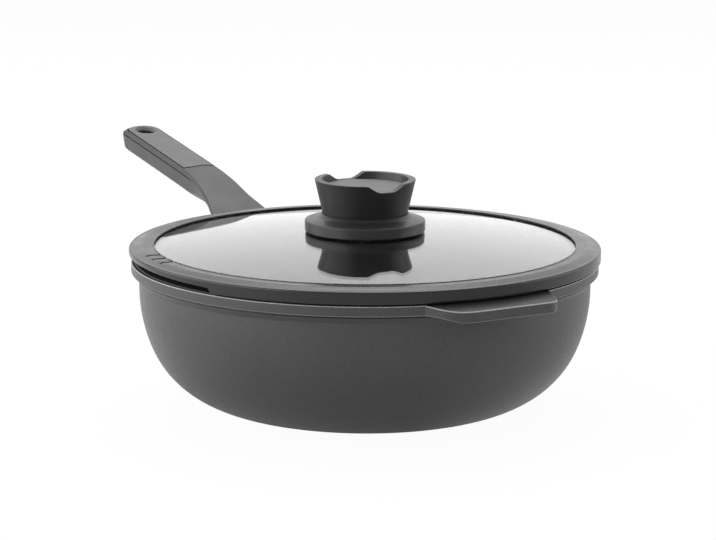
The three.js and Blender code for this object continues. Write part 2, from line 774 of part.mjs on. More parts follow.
const washerBottom = washerSeat - GAP - HANDLE_WASHER;
const handleHeadTop = washerBottom - GAP;
const handleShankEnd = HANDLE_SCREW_BITE - LUG_DEPTH - LUG / 2;
const handleScrew = screw(
  HANDLE_SCREW_HEAD,
  HANDLE_SCREW_HEAD_HEIGHT,
  HANDLE_SCREW,
  handleHeadTop,
  handleShankEnd,
);
const handleWasher = ring(
  HANDLE_SCREW + GAP,
  HANDLE_SCREW_HEAD,
  washerBottom,
  washerSeat - GAP,
  SMALL_SIDES,
);
const fixing = new THREE.Group();
fixing.add(mesh('handle_screw', handleScrew, steel));
fixing.add(mesh('handle_washer', handleWasher, steel));
fixing.position.x = HANDLE_SCREW_REACH / Math.cos(NECK_RISE);
const neck = new THREE.Group();
neck.position.set(rimRadius, 0, creaseStart);
neck.rotation.y = -NECK_RISE;
neck.add(fixing);
pan.add(neck);

const knobScrew = screw(
  KNOB_SCREW_HEAD,
  KNOB_SCREW_HEAD_HEIGHT,
  KNOB_SCREW,
  knobHeadTop,
  threadBottom + KNOB_SCREW_BITE,
);
const lidFrame = new THREE.Group();
lidFrame.rotation.z = LID_ANGLE;
lidFrame.add(mesh('lid_rim', lidRim(), silicone));
lidFrame.add(mesh('knob_flange', knobFlange(), darkMoulding));
lidFrame.add(mesh('knob_grip', knobGrip(), darkMoulding));
lidFrame.add(mesh('knob_top_insert', knobTopInsert(), softPad));
lidFrame.add(mesh('knob_thread_insert', knobThreadInsert(), brass));
lidFrame.add(mesh('knob_gasket_upper', knobGasketUpper(), blackRubber));
lidFrame.add(mesh('knob_gasket_lower', knobGasketLower(), blackRubber));
lidFrame.add(mesh('knob_washer', knobWasher(), steel));
lidFrame.add(mesh('knob_screw', knobScrew, steel));

const lid = new THREE.Group();
lid.add(mesh('lid_glass', lidGlass(), glassFinish));
lid.add(lidFrame);

const wok = new THREE.Group();
wok.add(pan, lid);

export default wok;
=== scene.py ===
"""Looks of a covered wok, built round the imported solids: fine meshes, finishes, light and camera.

Lengths are written in millimetres, as on a drawing, and become metres when a mesh is made.
"""

import math

import bmesh
import bpy
from mathutils import Matrix, Vector


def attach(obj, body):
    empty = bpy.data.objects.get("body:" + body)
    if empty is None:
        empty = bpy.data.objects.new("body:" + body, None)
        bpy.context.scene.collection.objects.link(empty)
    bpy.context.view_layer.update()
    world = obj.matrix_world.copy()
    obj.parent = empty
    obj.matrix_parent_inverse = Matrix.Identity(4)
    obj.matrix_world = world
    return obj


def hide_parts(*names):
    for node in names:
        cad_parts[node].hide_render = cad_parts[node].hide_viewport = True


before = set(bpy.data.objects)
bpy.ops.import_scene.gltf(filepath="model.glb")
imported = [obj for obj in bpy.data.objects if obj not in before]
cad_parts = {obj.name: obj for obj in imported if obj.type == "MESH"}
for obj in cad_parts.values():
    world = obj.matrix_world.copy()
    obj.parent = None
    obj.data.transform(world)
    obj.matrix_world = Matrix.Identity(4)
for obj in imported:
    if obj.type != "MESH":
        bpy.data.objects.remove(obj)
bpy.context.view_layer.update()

MM = 0.001
WELD = 1e-6  # metres: points closer than this are one point
SHARP = math.radians(38)  # edges that turn by more than this stay crisp
GAP = 0.3  # clearance between pieces
EDGE = 0.8  # small round on cast and moulded edges
FILLET_STEPS = 5
FILLET_ROOM = 0.45  # share of an edge that the round at one end may take
LEAST_FILLET = 0.02
HOLD = 0.12  # a flat face starts this far from a round, so that it shades flat
ROUND_STEP = math.radians(1.5)  # between the sections of large round pieces
KNOB_STEP = math.radians(2.5)
SMALL_STEP = math.radians(6)

# Pan
WALL_RADIUS = 140.2  # outside of the straight wall
WALL = 4
FLOOR = 5.5
BASE_ARC = 60.6  # lower round, from the base to the side
SIDE_ARC = 94.4  # upper round, from the side to the wall
ARC_TURN = math.radians(67)  # slope where the two rounds meet
WALL_STRAIGHT = 5.5  # upright wall above the rounds
RIM_OUT = 4.8  # how far the rim band stands out from the wall
RIM_BAND = 6.9  # height of the rim band's face
BAND_GROOVE = 1.8  # depth of the fine groove under the rim band
BAND_STEP = 0.7  # the band's outer edge lies this far below the rim, which leaves a dark line under the lid
WEAR_AND_GLINT_REACH = 0.62  # the coating is painted paler this far from the band's and the tab's edges, as a highlight with some worn coating
WEAR_AND_GLINT_FADE = 0.3  # over which the painted highlight fades
LOWER_WEAR_AND_GLINT = 0.35  # share of that painted highlight on the lower edges
WEAR_AND_GLINT_LEVEL = 9.0  # how many times paler the coating is painted where the highlight is strongest
PLATE_RADIUS = 66
PLATE = 1.5  # thickness of the induction plate
PLATE_SUNK = 0.15  # the plate's face lies this far inside the base
DOT_PITCH = 6.2
DOT_RADIUS = 1.5
DOT_HEIGHT = 0.24
DOT_LIFT = 0.16
DOT_MARGIN = 4  # bare edge of the plate round the dots
DOT_ROWS = 26
DOT_SIDES = 14
ARC_STEPS = 26  # steps on each arc of the pan's profile

# Helper tab
TAB_REACH = 12.7  # from the rim band to the tab's straight edge
TAB_ROOT_HALF = 43  # half the length where the tab leaves the rim band
TAB_HALVES = {-1: 31, 1: 37.4}  # from the tab's middle to its two corners, which differ a little
TAB_CORNERS = {-1: 13, 1: 7}  # lengths over which these corners are rounded
TAB_DROP = 3  # the tab's edge lies this far below the rim
TAB_EDGE = 6.6  # thickness of the tab's edge
TAB_STEPS = 24
TAB_FULLNESS = 0.6  # how far a corner's curve leans into the corner
TAB_MARGIN = 0.004  # radians kept free of plain sections beside the tab

# Handle
HANDLE_REACH = 175  # from the rim band to the tip
BEND_REACH = 52.6  # from the rim band to the bend between neck and grip
NECK_REACH = 35  # from the rim band to the neck's narrow section
GRIP_REACH = 75  # from the rim band to the start of the grip's even section
NECK_RISE = math.radians(24.5)
GRIP_RISE = math.radians(9.8)
BEND_EASE = 3  # height by which the bend is rounded off
ROOT_DROP = 6.3  # the crease starts this far below the pan's rim
ROOT_GAP = 1  # from the rim band to the handle's root
CROWN = 0.9  # rise of the rounded top over its shoulders
CROWN_STEPS = 7
TIP_LENGTH = 9  # length of the rounded tip
TIP_POWER = 5  # how square the tip is in plan, where 2 is an ellipse
TIP_TOP_POWER = 2.5  # the top is rounder in plan than the crease
TIP_FILL = 0.4
TIP_STEPS = 14
HANDLE_STEP = 3  # spacing of the handle's sections
ROOT_BLEND = 6  # from the rim band to the first plain section
SEAM_GROOVE = 0.9  # depth of the fine groove along the grip's crease
ROOT = {"half": 26, "inset": 0.8, "drop": 1, "tuck": 0.5, "edge": 3.3, "keel_half": 12, "keel": 17}
NECK = {"half": 17.0, "inset": 0.8, "drop": 1, "tuck": 0.5, "edge": 3.3, "keel_half": 6, "keel": 11.5}
GRIP = {"half": 14.0, "inset": 1.5, "drop": 3.2, "tuck": 1.4, "edge": 10, "keel_half": 9.4, "keel": 12.9}
PAD_REACH = 80  # from the rim band to the soft pad's front edge
PAD_WAVE = 1.2
PAD_MARGIN = 1.2
PAD_DEPTH = 2.2
PAD_SEAM = 0.8  # dark gap round the soft pad, whose darkness is partly painted shade on the pad's sides
PAD_ROUND = 0.25
PAD_PROUD = 0.3  # the soft pad stands this far out of the grip
PAD_ROWS = 60
PAD_HALF_COLUMNS = 14
POCKET_TOP = 6  # the cutter of the pad's pocket reaches this far out of the grip
POCKET_FLOOR = 0.2  # room under the pad
POCKET_ROUND = 0.1
HANG_HOLE = 5.8  # radius of the hang hole
HANG_BACK = 13  # from the tip to the centre of the hang hole
HANG_CHAMFER = 1.9
HANG_CUT = 40, 10  # depth and height of the hole's cutter

# Lug and handle screw, in a frame that rises with the neck
LUG_REACH = 26  # from the rim band to the lug's end
LUG_WIDTH = 16
LUG = 6.5  # thickness of the lug
LUG_DEPTH = 6.2  # the lug's middle lies this far below the crease
HANDLE_SCREW_REACH = 16  # from the rim band to the screw
HANDLE_SCREW = 2.3  # radius of the shank
HANDLE_SCREW_BITE = 4.5  # length of the shank in the lug
HANDLE_SCREW_HEAD = 4.2  # radius of the head
HANDLE_SCREW_HEAD_HEIGHT = 1.8
HANDLE_SEAT = 2  # handle wall between the lug and the washer
HANDLE_WASHER = 0.8  # thickness of the washer

# Screws
THREAD_PITCH = 1.0
THREAD_RIDGE = 0.25
THREAD_START = 1.6  # from the head to the first ridge
RECESS_HALF = 0.62, 0.14  # half the length and width of the recess's cross, as shares of the head's radius
RECESS_DEPTH = 0.55  # as a share of the head's height

# Lid
LID_ANGLE = math.radians(-6.5)  # the lid is laid on turned by this much
LID_OVERHANG = 1.3  # how far the rim reaches out past the pan's rim band
LID_TOP = 15.7  # width of the rim's top, from its outer edge to the inside of the raised lip
LID_SIDE = 7.6  # height of the rim's outer edge
LIP_WIDTH = 7.4
LIP_SLOPE = 0.8  # width of the slope outside the lip
LIP_HEIGHT = 0.2  # rise of the lip over the rim's top
BEAD_WIDTH = 1.1  # fine bead on the lip, along the glass
BEAD_HEIGHT = 0.35
TOP_RISE = 1.2  # rise of the rim's top from its edge to the lip's slope
SKIRT_CLEARANCE = 0.9  # from the skirt to the pan's wall
SKIRT_DEPTH = 5.8
SKIRT = 2.4  # thickness of the skirt at its lower edge
LOWER_LIP = 1.2  # the lip under the glass reaches this far below the rest plane
SLOT_HALF_ANGLE = math.radians(27.4)
SLOT_HEIGHT = 4.2  # height of the steam slot above the rest plane
SLOT_END = 3.0  # height of the steam slot at its ends
SLOT_BITE = 0.5  # depth of the steam slot in the skirt
SLOT_RAMP = math.radians(1.1)
TICK_ANGLE = math.radians(5)  # between the tick grooves that mark the slot
TICK_LENGTH = 10
TICK_WIDTH = 3.6
TICK_DEPTH = 0.7
TICK_FLOOR = 0.1  # silicone left between a tick and the glass
TICK_SPAN = math.radians(0.7)  # each side of a tick's middle, in which sections lie close together
TICK_STEP = math.radians(0.07)
SLOT_STEP = math.radians(0.12)  # between sections at the slot's ends
RIM_TOP_STEPS = 12
GLASS = 4  # thickness
GLASS_SEAT = 8  # height of the glass's top above the rest plane, at the lip
GLASS_BITE = 2.6  # how far the glass's edge reaches into the rim's groove
GLASS_DOME = 985  # radius of the dome
GLASS_HOLE = 5.5  # radius of the centre hole
GLASS_EDGE = 0.7  # round on the glass's edges
DOME_STEPS = 24

# Knob
FLANGE_RADIUS = 37.4
FLANGE_LIFT = 0.1  # from the top of the dome up to the flange's lower edge
FLANGE_SIDE = 6.8  # height of the flange's side
FLANGE_CONE = 2.8  # rise of the flange's top to the neck
FLANGE_WALL = 3.7  # width of the flange's lower edge
FLANGE_RECESS = 2.1  # depth of the recess that holds the upper gasket
SPIGOT = 3.3  # height of the flange's spigot in the grip
FOOT_FILLET = 3.2  # the foot's top turns up to the knob from this far out
KNOB_NECK = 26.2  # radius of the grip at its foot
KNOB_TOP = 31.4  # radius of the grip at its top
KNOB_HEIGHT = 22.3  # height of the grip
KNOB_RIM = 4.4  # width of the rim round the dish
DISH_DEPTH = 4.3
DISH_TAPER = 1  # how far the dish narrows to its floor
PAD = 1.9  # thickness of the pad on the dish floor
KNOB_CAVITY = 20  # radius of the hollow in the grip
KNOB_CEILING = 3.8  # thickness over the hollow
BOSS_RADIUS = 7.6
NOTCH_BOTTOM = 12.5  # width of the spoon notches at the dish floor
NOTCH_TOP = 25  # width of the spoon notches at the top
NOTCH_ROUND = 1.8  # the notch's floor turns up this far before its nominal width
NOTCH_CURVE = 1.5  # above 1, the notch is round at its floor and crisp at its shoulders
NOTCH_TURN = math.radians(3)  # of the spoon notches, from the line across the steam slot's middle
NOTCH_STEP = math.radians(0.6)
THREAD_OUTER = 4.6  # radius of the brass thread insert
THREAD_LENGTH = 13
RIDGE_WIDTH = 0.35
RIDGE_COUNT = 36
RIDGE_SIDES = 6
KNOB_SCREW = 3  # radius of the shank
KNOB_SCREW_BITE = 10  # length of the shank in the thread insert
KNOB_SCREW_HEAD = 5.6
KNOB_SCREW_HEAD_HEIGHT = 3
GASKET_RADIUS = 12  # lower gasket
GASKET = 1.7
COLLAR = 1.6  # wall of the lower gasket's collar in the glass's hole
KNOB_WASHER_RADIUS = 10
KNOB_WASHER = 1

# Sizes worked out from those
ROUND_TOP = BASE_ARC * (1 - math.cos(ARC_TURN)) + SIDE_ARC * math.cos(ARC_TURN)
BAND_BOTTOM = ROUND_TOP + WALL_STRAIGHT + RIM_OUT
PAN_TOP = BAND_BOTTOM + RIM_BAND
RIM_RADIUS = WALL_RADIUS + RIM_OUT
MOUTH_RADIUS = WALL_RADIUS - WALL
SIDE_CENTRE = WALL_RADIUS - SIDE_ARC
BASE_RADIUS = SIDE_CENTRE + (SIDE_ARC - BASE_ARC) * math.sin(ARC_TURN)
TIP_X = RIM_RADIUS + HANDLE_REACH
TIP_START = TIP_X - TIP_LENGTH
REST_PLANE = PAN_TOP + GAP
LID_RADIUS = RIM_RADIUS + LID_OVERHANG
LIP_RADIUS = LID_RADIUS - LID_TOP
LIP_GLASS = REST_PLANE + GLASS_SEAT
GLASS_RADIUS = LIP_RADIUS + GLASS_BITE
DOME_TOP = LIP_GLASS + GLASS_DOME - math.sqrt(GLASS_DOME**2 - LIP_RADIUS**2)
FLANGE_BOTTOM = DOME_TOP + FLANGE_LIFT
FLANGE_TOP = FLANGE_BOTTOM + FLANGE_SIDE + FLANGE_CONE
GRIP_BOTTOM = FLANGE_TOP + GAP
GRIP_TOP = GRIP_BOTTOM + KNOB_HEIGHT
DISH_FLOOR = GRIP_TOP - DISH_DEPTH
PAD_SEAT = DISH_FLOOR - PAD - GAP
THREAD_BOTTOM = FLANGE_BOTTOM + FLANGE_RECESS + GAP
GASKET_TOP = DOME_TOP - GLASS - GAP
WASHER_TOP = GASKET_TOP - GASKET - GAP
KNOB_HEAD_TOP = WASHER_TOP - KNOB_WASHER - GAP
CREASE_START = PAN_TOP - ROOT_DROP


# Small sums


def lerp(a, b, share):
    return a + (b - a) * share


def clamp(value):
    return min(1.0, max(0.0, value))


def ease(value):
    share = clamp(value)
    return share * share * (3 - 2 * share)


def angles_round(step, *dense):
    """Angles all round, with each (from, to, step) stretch in dense sampled by its own step."""
    count = round(2 * math.pi / step)
    found = [i * 2 * math.pi / count for i in range(count)]
    for low, high, fine in dense:
        found = [a for a in found if not low - fine / 2 <= a <= high + fine / 2]
        steps = max(1, round((high - low) / fine))
        found += [lerp(low, high, i / steps) for i in range(steps + 1)]
    return sorted(found)


def turn_from(angle, centre):
    """Signed angle from a centre direction, between minus and plus half a turn."""
    return (angle - centre + math.pi) % (2 * math.pi) - math.pi


def rounded(corners, closed=False):
    """An outline whose (a, b, radius) corners are rounded, always with the same number of points."""
    points = []
    count = len(corners)
    for i, (a, b, radius) in enumerate(corners):
        here = Vector((a, b))
        if radius == 0 or (not closed and i in (0, count - 1)):
            points.append((a, b))
            continue
        before = Vector(corners[i - 1][:2]) - here
        after = Vector(corners[(i + 1) % count][:2]) - here
        inward = before.normalized()
        outward = after.normalized()
        turn = math.pi - inward.angle(outward, math.pi)
        room = FILLET_ROOM * min(before.length, after.length)
        reach = min(room, radius * math.tan(turn / 2) if turn < math.pi - 1e-3 else room)
        reach = max(reach, LEAST_FILLET)
        hold = min(HOLD, 0.1 * min(before.length, after.length))
        start = here + inward * reach
        end = here + outward * reach
        points.append(tuple(start + inward * hold))
        for step in range(FILLET_STEPS + 1):
            t = step / FILLET_STEPS
            arc = start * (1 - t) ** 2 + here * 2 * t * (1 - t) + end * t**2
            points.append(tuple(arc))
        points.append(tuple(end + outward * hold))
    return points


def arc_points(centre, radius, start, end, steps):
    found = []
    for i in range(steps + 1):
        turn = lerp(start, end, i / steps)
        found.append((centre[0] + radius * math.cos(turn), centre[1] + radius * math.sin(turn)))
    return found


# Meshes


def shade(mesh):
    """Welds a mesh, turns its faces outwards, and shades it smooth with crisp edges where it turns."""
    work = bmesh.new()
    work.from_mesh(mesh)
    bmesh.ops.remove_doubles(work, verts=work.verts, dist=WELD)
    bmesh.ops.dissolve_degenerate(work, edges=work.edges, dist=WELD)
    bmesh.ops.recalc_face_normals(work, faces=work.faces)
    for face in work.faces:
        face.smooth = True
    for edge in work.edges:
        edge.smooth = len(edge.link_faces) != 2 or edge.calc_face_angle() < SHARP
    work.to_mesh(mesh)
    work.free()


def mesh_object(name, points, faces):
    mesh = bpy.data.meshes.new(name)
    mesh.from_pydata([(x * MM, y * MM, z * MM) for x, y, z in points], [], faces)
    shade(mesh)
    piece = bpy.data.objects.new(name, mesh)
    bpy.context.scene.collection.objects.link(piece)
    return piece


def quads(rows, width, around, across, first=0):
    """Faces over rows of points. around joins the last row to the first, across each row's ends."""
    faces = []
    for i in range(rows if around else rows - 1):
        low = first + i * width
        high = first + (i + 1) % rows * width
        for j in range(width if across else width - 1):
            k = (j + 1) % width
            faces.append((low + j, low + k, high + k, high + j))
    return faces


def skin(name, rows, around=True, across=True, caps=()):
    """A mesh over rows of points. caps names the rows, 0 or -1, that a flat face closes."""
    width = len(rows[0])
    points = [point for row in rows for point in row]
    faces = quads(len(rows), width, around, across)
    for row in caps:
        start = row % len(rows) * width
        faces.append(tuple(range(start, start + width)))
    return mesh_object(name, points, faces)


def polar(name, angles, profile, turned_by=0.0):
    """A piece made of sections at angles about Z. profile(angle) gives (radius, height) points."""
    rows = []
    for angle in angles:
        c = math.cos(angle + turned_by)
        s = math.sin(angle + turned_by)
        rows.append([(r * c, r * s, z) for r, z in profile(angle)])
    first = profile(angles[0])
    open_ends = first[0][0] < WELD and first[-1][0] < WELD
    return skin(name, rows, across=not open_ends)


def lathe(name, corners, step, closed=True):
    """A turned piece with rounded corners. It is a closed ring, or starts and ends on the axis."""
    section = rounded(corners, closed)
    return polar(name, angles_round(step), lambda angle: section)


def plain_copy(piece):
    """Turns what an object's modifiers give into a plain mesh."""
    evaluated = piece.evaluated_get(bpy.context.evaluated_depsgraph_get())
    mesh = bpy.data.meshes.new_from_object(evaluated)
    piece.modifiers.clear()
    piece.data = mesh


def cut(piece, cutter, operation="DIFFERENCE"):
    """Cuts a piece with another, which is then removed."""
    boolean = piece.modifiers.new("cut", "BOOLEAN")
    boolean.operation = operation
    boolean.solver = "EXACT"
    boolean.object = cutter
    bpy.context.view_layer.update()
    plain_copy(piece)
    bpy.data.objects.remove(cutter)
    shade(piece.data)


def fit(piece, finish, body, slot, *nodes):
    """Gives a piece its finish, its body and the solids that it stands for."""
    piece.data.materials.clear()
    piece.data.materials.append(finish)
    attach(piece, body)
    if nodes:
        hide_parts(*nodes)
    return piece


def refinish(piece, finish, chosen):
    """Gives the faces that chosen picks another finish."""
    piece.data.materials.append(finish)
    index = len(piece.data.materials) - 1
    for face in piece.data.polygons:
        if chosen(face):
            face.material_index = index


# Finishes


def add(tree, kind, inputs=None, **settings):
    made = tree.nodes.new(kind)
    for key, value in settings.items():
        setattr(made, key, value)
    for key, value in (inputs or {}).items():
        made.inputs[key].default_value = value
    return made


def compute(tree, operation, *values):
    """A number worked out from sockets and plain numbers."""
    made = add(tree, "ShaderNodeMath", operation=operation)
    for slot, value in zip(made.inputs, values):
        if isinstance(value, bpy.types.NodeSocket):
            tree.links.new(value, slot)
        else:
            slot.default_value = value
    return made.outputs[0]


def spread(tree, value, start, end, low, high):
    """A number that goes from low to high as another goes from start to end."""
    ends = {"From Min": start, "From Max": end, "To Min": low, "To Max": high}
    made = add(tree, "ShaderNodeMapRange", ends)
    tree.links.new(value, made.inputs["Value"])
    return made.outputs["Result"]


def grain(tree, scale, detail, low, high, stretch=None):
    """Noise on the piece's own coordinates, as a number between low and high."""
    source = add(tree, "ShaderNodeTexCoord").outputs["Object"]
    noise = add(tree, "ShaderNodeTexNoise", {"Scale": scale, "Detail": detail, "Roughness": 0.6})
    if stretch:
        mapping = add(tree, "ShaderNodeMapping", {"Scale": stretch})
        tree.links.new(source, mapping.inputs["Vector"])
        source = mapping.outputs["Vector"]
    tree.links.new(source, noise.inputs["Vector"])
    return spread(tree, noise.outputs["Fac"], 0.3, 0.7, low, high)


def flecks(tree, scale, size, low, high):
    """Round flecks of a given size in the coating, as a number that is high inside a fleck."""
    coords = add(tree, "ShaderNodeTexCoord")
    cells = add(tree, "ShaderNodeTexVoronoi", {"Scale": scale, "Randomness": 1.0})
    tree.links.new(coords.outputs["Object"], cells.inputs["Vector"])
    return spread(tree, cells.outputs["Distance"], size, 0.0, low, high)


def tint(tree, value, color):
    """A colour whose brightness follows a number."""
    made = add(tree, "ShaderNodeVectorMath", operation="SCALE")
    made.inputs[0].default_value = color
    tree.links.new(value, made.inputs["Scale"])
    return made.outputs["Vector"]


def finish(name, color, roughness, metallic=0.0, specular=0.5):
    """A new finish. color is three numbers; roughness is set here unless a pattern drives it later."""
    made = bpy.data.materials.new(name)
    made.use_nodes = True
    shader = made.node_tree.nodes["Principled BSDF"]
    shader.inputs["Base Color"].default_value = (*color, 1)
    shader.inputs["Roughness"].default_value = roughness
    shader.inputs["Metallic"].default_value = metallic
    shader.inputs["Specular IOR Level"].default_value = specular
    return made, made.node_tree, shader


def bump(tree, shader, height, distance, strength):
    made = add(tree, "ShaderNodeBump", {"Strength": strength, "Distance": distance})
    tree.links.new(height, made.inputs["Height"])
    tree.links.new(made.outputs["Normal"], shader.inputs["Normal"])


def coating_finish(name, color, rough_low, rough_high, fleck, specular):
    """Grainy stone-like coating: fine grain, paler flecks, a slow change over the surface, and edges painted
    paler as a highlight with some worn coating.
    """
    made, tree, shader = finish(name, color, 0.45, 0.0, specular)
    level = compute(tree, "MULTIPLY", grain(tree, 1300, 3, 0.82, 1.2), grain(tree, 16, 2, 0.94, 1.06))
    level = compute(tree, "MULTIPLY", level, flecks(tree, 420, 0.32, 1.0, fleck))
    # Painted highlight with some wear: the coating is made many times paler along the edges that the pan
    # marks.
    wear_and_glint = add(tree, "ShaderNodeAttribute", attribute_name="edge_wear_and_glint").outputs["Fac"]
    level = compute(tree, "MULTIPLY", level, spread(tree, wear_and_glint, 0.0, 1.0, 1.0, WEAR_AND_GLINT_LEVEL))
    tree.links.new(tint(tree, level, color), shader.inputs["Base Color"])
    tree.links.new(grain(tree, 700, 2, rough_low, rough_high), shader.inputs["Roughness"])
    bump(tree, shader, grain(tree, 1000, 2, 0, 1), 0.00012, 0.3)
    return made


def moulded_finish(name, color, rough_low, rough_high, grain_scale, depth, specular):
    """Spark-eroded moulding texture: fine stipple with a slow change of sheen."""
    made, tree, shader = finish(name, color, 0.5, 0.0, specular)
    stipple = grain(tree, grain_scale, 2, 0.92, 1.08)
    level = compute(tree, "MULTIPLY", stipple, grain(tree, 30, 2, 0.95, 1.05))
    tree.links.new(tint(tree, level, color), shader.inputs["Base Color"])
    tree.links.new(grain(tree, 60, 3, rough_low, rough_high), shader.inputs["Roughness"])
    bump(tree, shader, grain(tree, grain_scale, 1, 0, 1), depth, 0.25)
    return made


def metal_finish(name, color, rough_low, rough_high, stretch):
    """Metal with fine drawn or turned marks."""
    made, tree, shader = finish(name, color, 0.3, 1.0)
    tree.links.new(tint(tree, grain(tree, 800, 3, 0.88, 1.1, stretch), color), shader.inputs["Base Color"])
    tree.links.new(grain(tree, 900, 3, rough_low, rough_high, stretch), shader.inputs["Roughness"])
    bump(tree, shader, grain(tree, 1200, 2, 0, 1, stretch), 0.00003, 0.3)
    return made


def glass_finish():
    made, tree, shader = finish("clear_glass", (0.94, 0.94, 0.94), 0.0)
    shader.inputs["Transmission Weight"].default_value = 1.0
    shader.inputs["IOR"].default_value = 1.58
    tree.links.new(grain(tree, 25, 3, 0.0, 0.012), shader.inputs["Roughness"])
    return made


coating = coating_finish("grained_coating", (0.038, 0.038, 0.0388), 0.38, 0.5, 1.5, 0.4)
nonstick = coating_finish("nonstick_inside", (0.012, 0.012, 0.0124), 0.3, 0.42, 2.2, 0.25)
handle_moulding = moulded_finish("handle_moulding", (0.034, 0.034, 0.0343), 0.42, 0.52, 2400, 0.00006, 0.4)
soft_touch = moulded_finish("soft_touch_pad", (0.12, 0.12, 0.121), 0.6, 0.72, 1800, 0.0001, 0.4)
knob_moulding = moulded_finish("knob_moulding", (0.012, 0.012, 0.0122), 0.36, 0.44, 2400, 0.00005, 0.35)
foot_moulding = moulded_finish("foot_moulding", (0.022, 0.022, 0.0223), 0.32, 0.4, 2400, 0.00005, 0.35)
silicone = moulded_finish("rim_silicone", (0.01, 0.01, 0.0102), 0.24, 0.32, 2000, 0.00002, 0.36)
# Near-black rubber of the gaskets; it is also painted on as shade on the pan's rim and groove, the hang
# hole's wall, the soft pad's sides and the lid rim's ticks and lip wall.
gasket_rubber = moulded_finish("gasket_rubber", (0.008, 0.008, 0.008), 0.5, 0.6, 1800, 0.00006, 0.4)
plate_steel = metal_finish("brushed_plate", (0.5, 0.5, 0.505), 0.25, 0.4, (1, 14, 1))
fixing_steel = metal_finish("fixing_steel", (0.55, 0.55, 0.56), 0.2, 0.32, (1, 1, 8))
thread_brass = metal_finish("turned_brass", (0.6, 0.43, 0.19), 0.25, 0.35, (1, 1, 10))
base_aluminium = metal_finish("bare_aluminium", (0.62, 0.62, 0.63), 0.35, 0.5, (1, 1, 1))
clear_glass = glass_finish()


# Pan


def bezier(ends, t):
    a, b, c, d = ends
    s = 1 - t
    shares = (s**3, 3 * s * s * t, 3 * s * t * t, t**3)
    return tuple(sum(share * value for share, value in zip(shares, values)) for values in zip(a, b, c, d))


def tab_outline(side):
    """The tab's edge on one side as (angle from the tab's middle, radius) pairs, from the band inwards."""
    root = Vector((math.sqrt(RIM_RADIUS**2 - TAB_ROOT_HALF**2), TAB_ROOT_HALF))
    corner = Vector((RIM_RADIUS + TAB_REACH, TAB_HALVES[side]))
    turn_start = corner + (root - corner).normalized() * TAB_CORNERS[side]
    turn_end = corner - Vector((0, TAB_CORNERS[side]))
    middle = Vector((corner.x, 0))
    turn = (turn_start, turn_start.lerp(corner, TAB_FULLNESS), turn_end.lerp(corner, TAB_FULLNESS), turn_end)
    shares = [i / TAB_STEPS for i in range(TAB_STEPS)]
    points = [root.lerp(turn_start, t) for t in shares]
    points += [Vector(bezier(turn, t)) for t in shares]
    points += [turn_end.lerp(middle, t) for t in shares] + [middle]
    return [(math.atan2(y, x), math.hypot(x, y)) for x, y in points]


TAB_LINES = {side: tab_outline(side) for side in (-1, 1)}


def tab_reach(angle):
    """How far the tab stands out of the rim band at an angle."""
    off = turn_from(angle, math.pi)
    line = TAB_LINES[1 if off > 0 else -1]
    off = abs(off)
    for (a, high), (b, low) in zip(line, line[1:]):
        if b <= off <= a:
            return lerp(low, high, (off - b) / max(a - b, 1e-9)) - RIM_RADIUS
    return 0.0


def pan_section(angle):
    """The pan's section: base, outside, rim band or tab, inside and floor."""
    reach = tab_reach(angle)
    lower, upper = edge_heights(reach)
    recess = PLATE + GAP
    plate = PLATE_RADIUS + GAP
    section = rounded([(0, recess, 0), (plate, recess, 0.2), (plate, 0, 0.4), (BASE_RADIUS, 0, 0)])
    quarter = math.pi / 2
    section += arc_points((BASE_RADIUS, BASE_ARC), BASE_ARC, -quarter, ARC_TURN - quarter, ARC_STEPS)[1:]
    section += arc_points((SIDE_CENTRE, ROUND_TOP), SIDE_ARC, ARC_TURN - quarter, 0, ARC_STEPS)[1:-1]
    rim = [
        (WALL_RADIUS, ROUND_TOP, 0),
        (WALL_RADIUS, BAND_BOTTOM - RIM_OUT, 1.6),
        (RIM_RADIUS - BAND_GROOVE + 0.3, BAND_BOTTOM - 1.1, 0.4),
        (RIM_RADIUS - BAND_GROOVE, BAND_BOTTOM - 0.5, 0.2),
        (RIM_RADIUS - BAND_GROOVE + 0.2, BAND_BOTTOM - 0.1 + (lower - BAND_BOTTOM) * 0.1, 0.2),
        (RIM_RADIUS + reach, lower, 0.7),
        (RIM_RADIUS + reach, upper, 0.6),
        (RIM_RADIUS - 2.2, PAN_TOP - BAND_STEP, 0.3),
        (RIM_RADIUS - 2.6, PAN_TOP, 0.4),
        (MOUTH_RADIUS, PAN_TOP, 0.9),
        (MOUTH_RADIUS, ROUND_TOP, 0),
    ]
    section += rounded(rim)
    upper_arc = SIDE_ARC - WALL
    meet = ROUND_TOP - upper_arc * math.cos(ARC_TURN)
    lower_arc = (meet - FLOOR) / (1 - math.cos(ARC_TURN))
    lower_centre = SIDE_CENTRE + (upper_arc - lower_arc) * math.sin(ARC_TURN)
    turn = ARC_TURN - quarter
    section += arc_points((SIDE_CENTRE, ROUND_TOP), upper_arc, 0, turn, ARC_STEPS)[1:]
    section += arc_points((lower_centre, FLOOR + lower_arc), lower_arc, turn, -quarter, ARC_STEPS)[1:]
    section.append((0, FLOOR))
    return section


def edge_heights(reach):
    """Heights of the lower and upper edge of the rim band, or of the tab where it stands out."""
    share = clamp(reach / TAB_REACH)
    lower = lerp(BAND_BOTTOM, PAN_TOP - TAB_DROP - TAB_EDGE, share**3)
    return lower, PAN_TOP - lerp(BAND_STEP, TAB_DROP, share)


